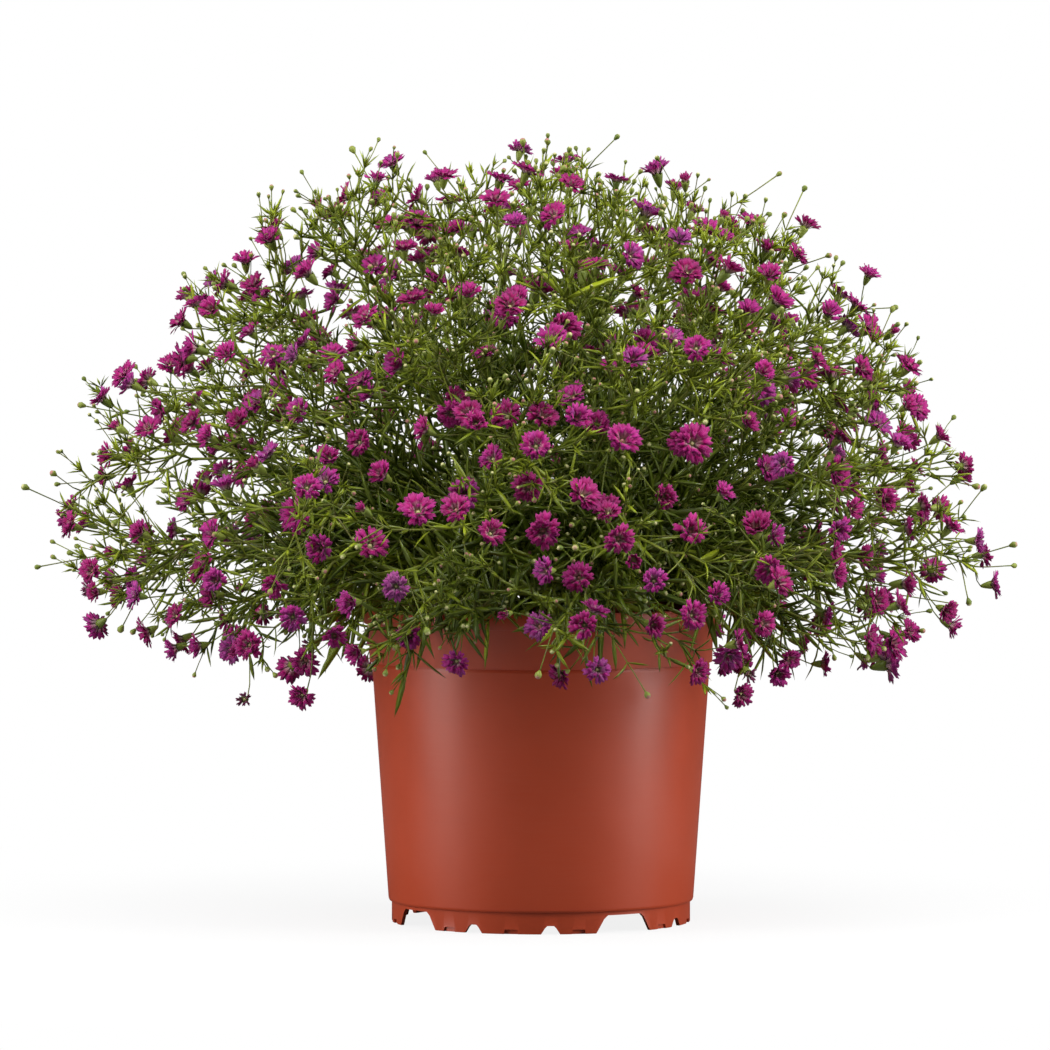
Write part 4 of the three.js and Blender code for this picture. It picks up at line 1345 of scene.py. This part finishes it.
def order_pair(orders, at, direction, length, turn, lean=PAIR_LEAN):
    """Two leaves opposite each other at a joint, unless they would run into the rim."""
    flat = math.hypot(at[0], at[1])
    near_rim = at[2] < LIP_TOP + BY_THE_RIM and flat < LIP_RADIUS + BY_THE_RIM
    # Painted shade: the deeper inside the dome a leaf stands, the lower its tone may go, but less
    # so by the rim
    fresh_and_painted_shade = max(painted_shade_limit(at), PAINTED_SHADE_BY_THE_RIM if near_rim else 0)
    tone = growth.random()
    for half_turn in (0, math.pi):
        side = way_round(direction, turn + half_turn + growth.normal(0, 0.15))
        angle = growth.uniform(*lean)
        way = direction * math.cos(angle) + side * math.sin(angle)
        own = length * growth.uniform(0.78, 1.15)
        half = (BLADE_HALF_WIDTH + BLADE_WIDENING * own) * growth.uniform(0.8, 1.15)
        arch = growth.uniform(*BLADE_ARCH)
        blade = (at, way, direction,
                 (own, half, arch, fresh_and_painted_shade * (0.7 * tone + 0.3 * growth.random())))
        if near_rim and hits_pot(tuple(at), tuple(at + way * own), 0.4):
            continue
        orders.blades_for(own).append(blade)


def order_bud(orders, at, direction, length):
    """A bud on a hair-thin stalk that bends over on its way."""
    end_way = steered(direction, 0.25 * outward_from(at), 0.22)
    end = at + units(direction + end_way) * length
    if hits_pot(tuple(at), tuple(end), 1.5) or dome_share(end) > 1.0:
        return
    order_stem(orders.hair, (at, direction * length, end, end_way * length), *HAIR_THICKNESS,
               growth.random())
    orders.buds.append((end - end_way * 0.1, end_way,
                        (growth.uniform(*SIDE_BUD_SIZE), growth.random())))


def order_tuft(orders, at, direction):
    """The end of a shoot: small leaves held close, and mostly a bud above them."""
    turn = growth.uniform(0, math.pi)
    order_pair(orders, at, direction, growth.uniform(*TUFT_LEAF), turn, TUFT_LEAN)
    order_pair(orders, at + direction * 0.8, direction, growth.uniform(*INNER_TUFT_LEAF),
               turn + math.pi / 2, INNER_TUFT_LEAN)
    if growth.random() < TUFT_BUDS:
        order_bud(orders, at, steered(direction, 0, 0.18), growth.uniform(*TUFT_BUD_STALK))


print("rules for leaves and buds are set")

# %% Order a side shoot
# A shoot's side shoots have the next level, and those of LAST_LEVEL fork no more
SHOOT_STEP, SHOOT_THICKNESS, LEVEL_THINNING, STEP_THINNING = 8, 0.40, 0.06, 0.9
SHORTEST_PAIR, INNER_PAIR_GAIN = 4.5, 13
LAST_LEVEL, FORKING, SIDE_BUDS = 2, 0.5, 0.15


def order_shoot(orders, at, direction, length, level, sag=-0.06, leafy=1.0):
    """A side shoot: short stretches with a pair of leaves at each joint, then a tuft."""
    steps = max(1, round(length / SHOOT_STEP))
    turn = growth.uniform(0, math.pi)
    thickness = SHOOT_THICKNESS - LEVEL_THINNING * level
    for _ in range(steps):
        stretch = length / steps * growth.uniform(0.85, 1.2)
        ahead = steered(direction, 0.3 * outward_from(at) + np.array([0, 0, -sag]), 0.14)
        end = at + units(direction + ahead) * stretch
        if dome_share(end) > shoot_limit(end) or hits_pot(tuple(at), tuple(end), 1.2):
            break
        order_stem(orders.thin, (at, direction * stretch, end, ahead * stretch), thickness,
                   thickness * STEP_THINNING, growth.random())
        at, direction, thickness = end, ahead, thickness * STEP_THINNING
        turn += math.pi / 2
        leaf = leafy * (SHORTEST_PAIR + INNER_PAIR_GAIN * (1 - dome_share(at)))
        order_pair(orders, at, direction, leaf * growth.uniform(0.8, 1.5), turn)
        if level < LAST_LEVEL and growth.random() < FORKING * lushness(at):
            side = units(direction + 0.8 * way_round(direction, turn))
            order_shoot(orders, at, side, length * growth.uniform(0.35, 0.6), level + 1, sag,
                        leafy)
        elif growth.random() < SIDE_BUDS:
            side = units(direction + 0.7 * way_round(direction, turn + math.pi))
            order_bud(orders, at, side, growth.uniform(*SIDE_BUD_STALK))
    order_tuft(orders, at, direction)


print("rules for shoots are set")

# %% Dress the stems
JOINT_GAP, LONGEST_HAIR = 9.5, 14
# A leaf's length at a joint or fork, and what is added deep inside and on a thick stem
JOINT_LEAF, INNER_JOINT_LEAF, THICK_JOINT_LEAF = 6.5, 15, 3
FORK_LEAF, INNER_FORK_LEAF = 6, 14
# The share of joints that have a shoot, less deep inside, and the length of a shoot
SHOOT_SHARE, INNER_SHOOT_LOSS, SHOOT_SHARE_RANGE = 1.25, 1.9, (0.3, 0.95)
SHOOT_LENGTH, INNER_SHOOT_LENGTH = (9, 20), 26
BARE_TIP_END, BARE_FORK_END = (7, 12), 3
LEAVING_BEND, ARRIVING_BEND, TIP_THINNING = 0.55, 0.9, 0.75
TIP_BUD_SIZE = (0.75, 1.0)


def dress_stretch(orders, curve, length, bare_end, thick):
    """Joints with leaves and shoots along a stretch, but none on its bare end."""
    joints = int((length - bare_end) / JOINT_GAP)
    turn = growth.uniform(0, math.pi)
    for k in range(joints):
        t = (k + growth.uniform(0.55, 0.95)) * JOINT_GAP / length
        if t >= 1 - bare_end / length:
            break
        at, heading = on_curve(curve, [t])[0], heading_on(curve, [t])[0]
        inner = max(0.0, 1 - dome_share(at))
        turn += math.pi / 2
        if hits_pot(tuple(at), tuple(at), 4):
            continue
        leaf = JOINT_LEAF + INNER_JOINT_LEAF * inner + THICK_JOINT_LEAF * thick
        order_pair(orders, at, heading, leaf, turn)
        shoots = limited(SHOOT_SHARE - INNER_SHOOT_LOSS * inner, *SHOOT_SHARE_RANGE)
        if growth.random() < shoots * lushness(at):
            side = units(heading + growth.uniform(0.6, 1.3) * way_round(heading, turn))
            own = growth.uniform(*SHOOT_LENGTH) + INNER_SHOOT_LENGTH * inner
            order_shoot(orders, at, side, own, 0)


def dress_arm(orders, node, child):
    """The bent stretch of stem from a fork to what grows on it, with its joints."""
    here, there = np.array(node["at"]), np.array(child["at"])
    length = float(np.linalg.norm(there - here))
    chord = (there - here) / length
    is_tip = child["kind"] in ("bloom", "bud")
    pull = units(chord + LEAVING_BEND * np.array(node["direction"])) * length
    end_bend = ARRIVING_BEND if is_tip else 0
    end_pull = units(chord + end_bend * np.array(child["direction"])) * length
    curve = (here, pull, there, end_pull)
    group = orders.hair if is_tip and length < LONGEST_HAIR else orders.thick
    start = child["radius"] if is_tip else (node["radius"] + child["radius"]) / 2
    end = child["radius"] * (TIP_THINNING if is_tip else 1)
    order_stem(group, curve, SLIMNESS * start, SLIMNESS * end, growth.random())
    bare = growth.uniform(*BARE_TIP_END) if is_tip else BARE_FORK_END
    dress_stretch(orders, curve, length, bare, child["radius"] - PEDICEL_RADIUS)


def dress_node(orders, node):
    """The leaves at a fork, and each arm of it with all that grows further out."""
    here, heading = np.array(node["at"]), np.array(node["direction"])
    for way, length in node["leaves"]:
        half = SOLID_BLADE_HALF_WIDTH + BLADE_WIDENING * length
        orders.blades_for(length).append(
            (here, np.array(way), heading, (length, half, SOLID_BLADE_ARCH, growth.random())))
    for child in node["children"]:
        dress_arm(orders, node, child)
        there, end_way = np.array(child["at"]), np.array(child["direction"])
        if child["kind"] == "bud":
            orders.buds.append((there, end_way, (growth.uniform(*TIP_BUD_SIZE), growth.random())))
            continue
        if child["kind"] == "bloom":
            orders.blooms.append((there, end_way))
            continue
        if child["kind"] == "fork":
            leaf = FORK_LEAF + INNER_FORK_LEAF * max(0, 1 - dome_share(there))
            order_pair(orders, there, units(there - here), leaf, growth.uniform(0, math.pi))
        dress_node(orders, child)


print("rules for stems are set")

# %% Dress every spray
UNDERGROWTH, UNDERGROWTH_LENGTH = 2, (20, 38)
SKIRT, SKIRT_LENGTH, SKIRT_SAG, SKIRT_LEAFINESS, SKIRT_FROM = 9, (26, 50), 0.26, 1.25, 0.55
MAIN_STEM_BEND = 0.55


def order_undergrowth(orders, spray):
    """Leafy shoots from low on a main stem: they fill the crown, and those of the outer stems
    lean over the rim."""
    foot = np.array(spray["collar"]["at"])
    joint = np.array(spray["collar"]["children"][0]["at"])
    length = float(np.linalg.norm(joint - foot))
    chord = (joint - foot) / length
    curve = (foot, units(chord + np.array([0, 0, MAIN_STEM_BEND])) * length, joint,
             chord * length)
    for _ in range(UNDERGROWTH):
        at = on_curve(curve, [growth.uniform(0.15, 1.0)])[0]
        flat = np.array([at[0], at[1], 0.0])
        side = flat / max(float(np.linalg.norm(flat)), 1.0) + growth.normal(0, 0.55, 3)
        side[2] = growth.uniform(-0.1, 0.8)
        order_shoot(orders, at, units(side), growth.uniform(*UNDERGROWTH_LENGTH), 1)
    is_outer = math.hypot(foot[0], foot[1]) > SKIRT_FROM * CROWN_RADIUS
    for _ in range(SKIRT if is_outer else 0):
        at = on_curve(curve, [growth.uniform(0.45, 1.0)])[0]
        turn = math.atan2(at[1], at[0]) + growth.normal(0, 0.35)
        side = np.array([math.cos(turn), math.sin(turn), growth.uniform(0.0, 0.5)])
        order_shoot(orders, at, units(side), growth.uniform(*SKIRT_LENGTH), 1, SKIRT_SAG,
                    SKIRT_LEAFINESS)


def dress_spray(spray):
    """The foot of the main stem in the soil, all that grows from it, and its undergrowth."""
    orders = Orders()
    root = np.array([spray["at"][0], spray["at"][1], SOIL_TOP - ROOT_DEPTH])
    collar = np.array(spray["collar"]["at"])
    rise = collar - root
    thickness = SLIMNESS * spray["radius"]
    order_stem(orders.thick, (root, rise, collar, rise), thickness, thickness, 0.5)
    dress_node(orders, spray["collar"])
    order_undergrowth(orders, spray)
    return orders


all_orders = [dress_spray(spray) for spray in sprays]
for what in ("thick", "thin", "hair", "long_blades", "blades", "small_blades", "buds", "blooms"):
    print(what, sum(len(getattr(orders, what)) for orders in all_orders))

# %% [markdown]
# ## Finishes of the plant
# Stems and leaves are matte and a little waxy. Leaves go from dark green inside the dome, which is
# painted shade, to fresh yellow-green at its outside, with a paler rib and a dry tip. Buds end in
# cream or pink. Petals go from deep magenta to lilac as they age, with darker veins along them, a
# pale claw and a paler edge. One material for each leaf would allow the same, but a few that read
# the shares are enough.

# %% Green finishes
DARK_STEM, LIGHT_STEM = (0.080, 0.115, 0.006), (0.205, 0.245, 0.020)
BROWNED_STEM = (0.13, 0.115, 0.045)
# The dark end of the leaf tones: random dark leaves, and painted shade deep inside the dome
DARK_LEAF_AND_PAINTED_SHADE, FRESH_LEAF = (0.036, 0.062, 0.001), (0.385, 0.460, 0.022)
AGED_LEAF = (0.120, 0.150, 0.018)
LEAF_RIB, LEAF_TIP = (0.28, 0.34, 0.06), (0.20, 0.13, 0.05)
DARK_CALYX, LIGHT_CALYX = (0.110, 0.155, 0.016), (0.240, 0.290, 0.045)
CREAM_TIP, PINK_TIP = (0.66, 0.62, 0.30), (0.50, 0.16, 0.20)


def stem_finish():
    finish = Finish("stem", 0.45, Specular_IOR_Level=0.25)
    green = finish.mix(finish.share("tone"), DARK_STEM, LIGHT_STEM)
    blotch = finish.spread(finish.noise(6, 2), 0.45, 0.75)
    finish.color(finish.mix(blotch, green, BROWNED_STEM))
    finish.bump(finish.noise(0.5, 2), 0.05, 0.5)
    return finish.material


def leaf_finish():
    finish = Finish("leaf", 0.34, Specular_IOR_Level=0.3, Subsurface_Weight=0.06,
                    Subsurface_Radius=(0.0008, 0.001, 0.0003))
    # Dark to light by the tone, whose dark end deep inside the dome is painted shade
    fresh_and_painted_shade = finish.mix(finish.share("tone"), DARK_LEAF_AND_PAINTED_SHADE, FRESH_LEAF)
    aged = finish.mix(finish.spread(finish.noise(7, 3), 0.5, 0.8, 0, 0.7), fresh_and_painted_shade, AGED_LEAF)
    off_the_rib = finish.maths("ABSOLUTE", finish.share("across"))
    ribbed = finish.mix(finish.spread(off_the_rib, 0, 0.3, 0.3, 0), aged, LEAF_RIB)
    tip = finish.spread(finish.share("along"), 0.86, 1, 0, 0.5)
    finish.color(finish.mix(tip, ribbed, LEAF_TIP))
    finish.bump(finish.noise(0.6, 3), 0.08, 0.5)
    return finish.material


def calyx_finish():
    finish = Finish("calyx and bud", 0.5, Specular_IOR_Level=0.35)
    green = finish.mix(finish.share("tone"), DARK_CALYX, LIGHT_CALYX)
    tip = finish.mix(finish.spread(finish.share("tone"), 0.55, 0.65), CREAM_TIP, PINK_TIP)
    finish.color(finish.mix(finish.spread(finish.share("along"), 0.8, 0.95, 0, 0.8), green, tip))
    finish.bump(finish.noise(0.45, 2), 0.06, 0.6)
    return finish.material


print("green finishes are set")

# %% Petal finish
# From young through old to withered: the tone of a bloom, and its colour there
PETAL_TONES = [(0.0, (0.26, 0.001, 0.075)), (0.35, (0.36, 0.003, 0.135)),
               (0.62, (0.39, 0.014, 0.205)), (0.85, (0.32, 0.050, 0.26)),
               (0.93, (0.30, 0.07, 0.23)), (0.97, (0.15, 0.03, 0.065))]
PETAL_VEIN, PETAL_EDGE, PETAL_CLAW = (0.13, 0.002, 0.05), (0.62, 0.11, 0.40), (0.72, 0.58, 0.52)
VEIN_WAVES = 9.5


def petal_finish():
    finish = Finish("petal", 0.62, Specular_IOR_Level=0.08, Sheen_Weight=0.04,
                    Subsurface_Weight=0.08, Subsurface_Radius=(0.001, 0.0004, 0.0007))
    ramp = finish.node("ValToRGB", {"Fac": finish.share("tone")})
    stops = ramp.color_ramp.elements
    while len(stops) < len(PETAL_TONES):
        stops.new(0.5)
    for stop, (place, color) in zip(stops, PETAL_TONES):
        stop.position, stop.color = place, (*color, 1)
    along, across = finish.share("along"), finish.share("across")
    wave = finish.maths("SINE", finish.maths("MULTIPLY", across, VEIN_WAVES))
    off_the_veins = finish.maths("ABSOLUTE", wave)
    vein_share = finish.spread(off_the_veins, 0, 0.5, 0.65, 0)
    veined = finish.mix(vein_share, ramp.outputs["Color"], PETAL_VEIN)
    edged = finish.mix(finish.spread(along, 0.65, 1, 0, 0.35), veined, PETAL_EDGE)
    finish.color(finish.mix(finish.spread(along, 0.12, 0.6, 0.9, 0), edged, PETAL_CLAW))
    finish.bump(off_the_veins, 0.12, 0.6)
    return finish.material


stem_look, leaf_look = stem_finish(), leaf_finish()
calyx_look, petal_look = calyx_finish(), petal_finish()
print("petal tones:", len(PETAL_TONES))

# %% [markdown]
# ## Lay down the sprays
# Each spray becomes four pieces of mesh, one for each finish: stems, leaves, calyxes with buds,
# and petals. One mesh with four finishes would hold the same, but pieces can be hidden and looked
# at one by one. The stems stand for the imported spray, and the others ride with them.

# %% Open the blooms
BLOOM_SIZE, LARGE_BLOOMS, LARGE_BLOOM_SIZE, CALYX_SIZE = (0.9, 1.12), 0.12, 1.25, 0.88
OLDEST_TONE, YOUNG_TONE, WITHERED_TONE = 0.92, 0.2, 1.0


def order_petal(petals, at, axis, turn, whorl, size, tone):
    """One petal of a whorl, a little longer or shorter, more open and paler than its neighbours."""
    _, length, half, flare, lift = whorl
    turn += growth.normal(0, 0.09)
    u, v = square_to(axis)
    outward = u * math.cos(turn) + v * math.sin(turn)
    is_withered = tone == WITHERED_TONE
    shade = tone if is_withered else limited(tone + growth.normal(0, 0.10), 0, 0.93)
    petals.append((at, outward, axis, (
        size * length * growth.uniform(0.86, 1.06), size * half,
        flare + growth.normal(0, 0.12), lift * size, shade, growth.uniform(-0.5, 0.7))))


def open_bloom(petals, calyxes, at, axis):
    pick = growth.random()
    stage = next(name for name, limit in STAGES if pick <= limit)
    size = growth.uniform(*BLOOM_SIZE)
    size *= LARGE_BLOOM_SIZE if growth.random() < LARGE_BLOOMS else 1
    tone = WITHERED_TONE if stage == "withered" else min(growth.beta(2.0, 2.6), OLDEST_TONE)
    tone = YOUNG_TONE * tone if stage == "young" else tone
    spin = growth.uniform(0, 2 * math.pi)
    for number, whorl in enumerate(WHORLS[stage]):
        count = whorl[0]
        for k in range(count):
            turn = spin + 2 * math.pi * (k + 0.5 * number) / count
            order_petal(petals, at, axis, turn, whorl, size, tone)
    calyxes.append((at, axis, (CALYX_SIZE * size, growth.random())))


print("rules for blooms are set")

# %% Lay every spray
# Rings along and corners round the tubes of thick stems, of side shoots and of hair-thin stalks
THICK_STEPS, THIN_STEPS, HAIR_STEPS = (6, 5), (3, 3), (4, 3)
BUD_SIDES, CALYX_SIDES = 6, 10


def lay_spray(name, orders):
    stems, leaves, greens, bloom_skin = Skin(), Skin(), Skin(), Skin()
    add_tubes(stems, orders.thick, *THICK_STEPS)
    add_tubes(stems, orders.thin, *THIN_STEPS)
    add_tubes(stems, orders.hair, *HAIR_STEPS)
    add_blades(leaves, orders.long_blades, LONG_BLADE)
    add_blades(leaves, orders.blades, BLADE)
    add_blades(leaves, orders.small_blades, SMALL_BLADE)
    petals, calyxes = [], []
    for at, axis in orders.blooms:
        open_bloom(petals, calyxes, at, axis)
    add_turned(greens, orders.buds, BUD_OUTLINE, BUD_SIDES)
    add_turned(greens, calyxes, CALYX_OUTLINE, CALYX_SIDES, CALYX_TEETH)
    add_petals(bloom_skin, petals)
    stem_piece = stems.lay(name + "_stems", stem_look, "plant")
    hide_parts(name)
    return [stem_piece, leaves.lay(name + "_leaves", leaf_look, "plant"),
            greens.lay(name + "_calyxes_and_buds", calyx_look, "plant"),
            bloom_skin.lay(name + "_petals", petal_look, "petals")]


laid = []
for name, orders in zip(sprays_packed, all_orders):
    laid += lay_spray(name, orders)
for ending in ("stems", "leaves", "buds", "petals"):
    print(ending, "triangles:", triangles_in(p for p in laid if p.name.endswith(ending)))
print("all triangles:", triangles_in([*laid, pot, soil]))
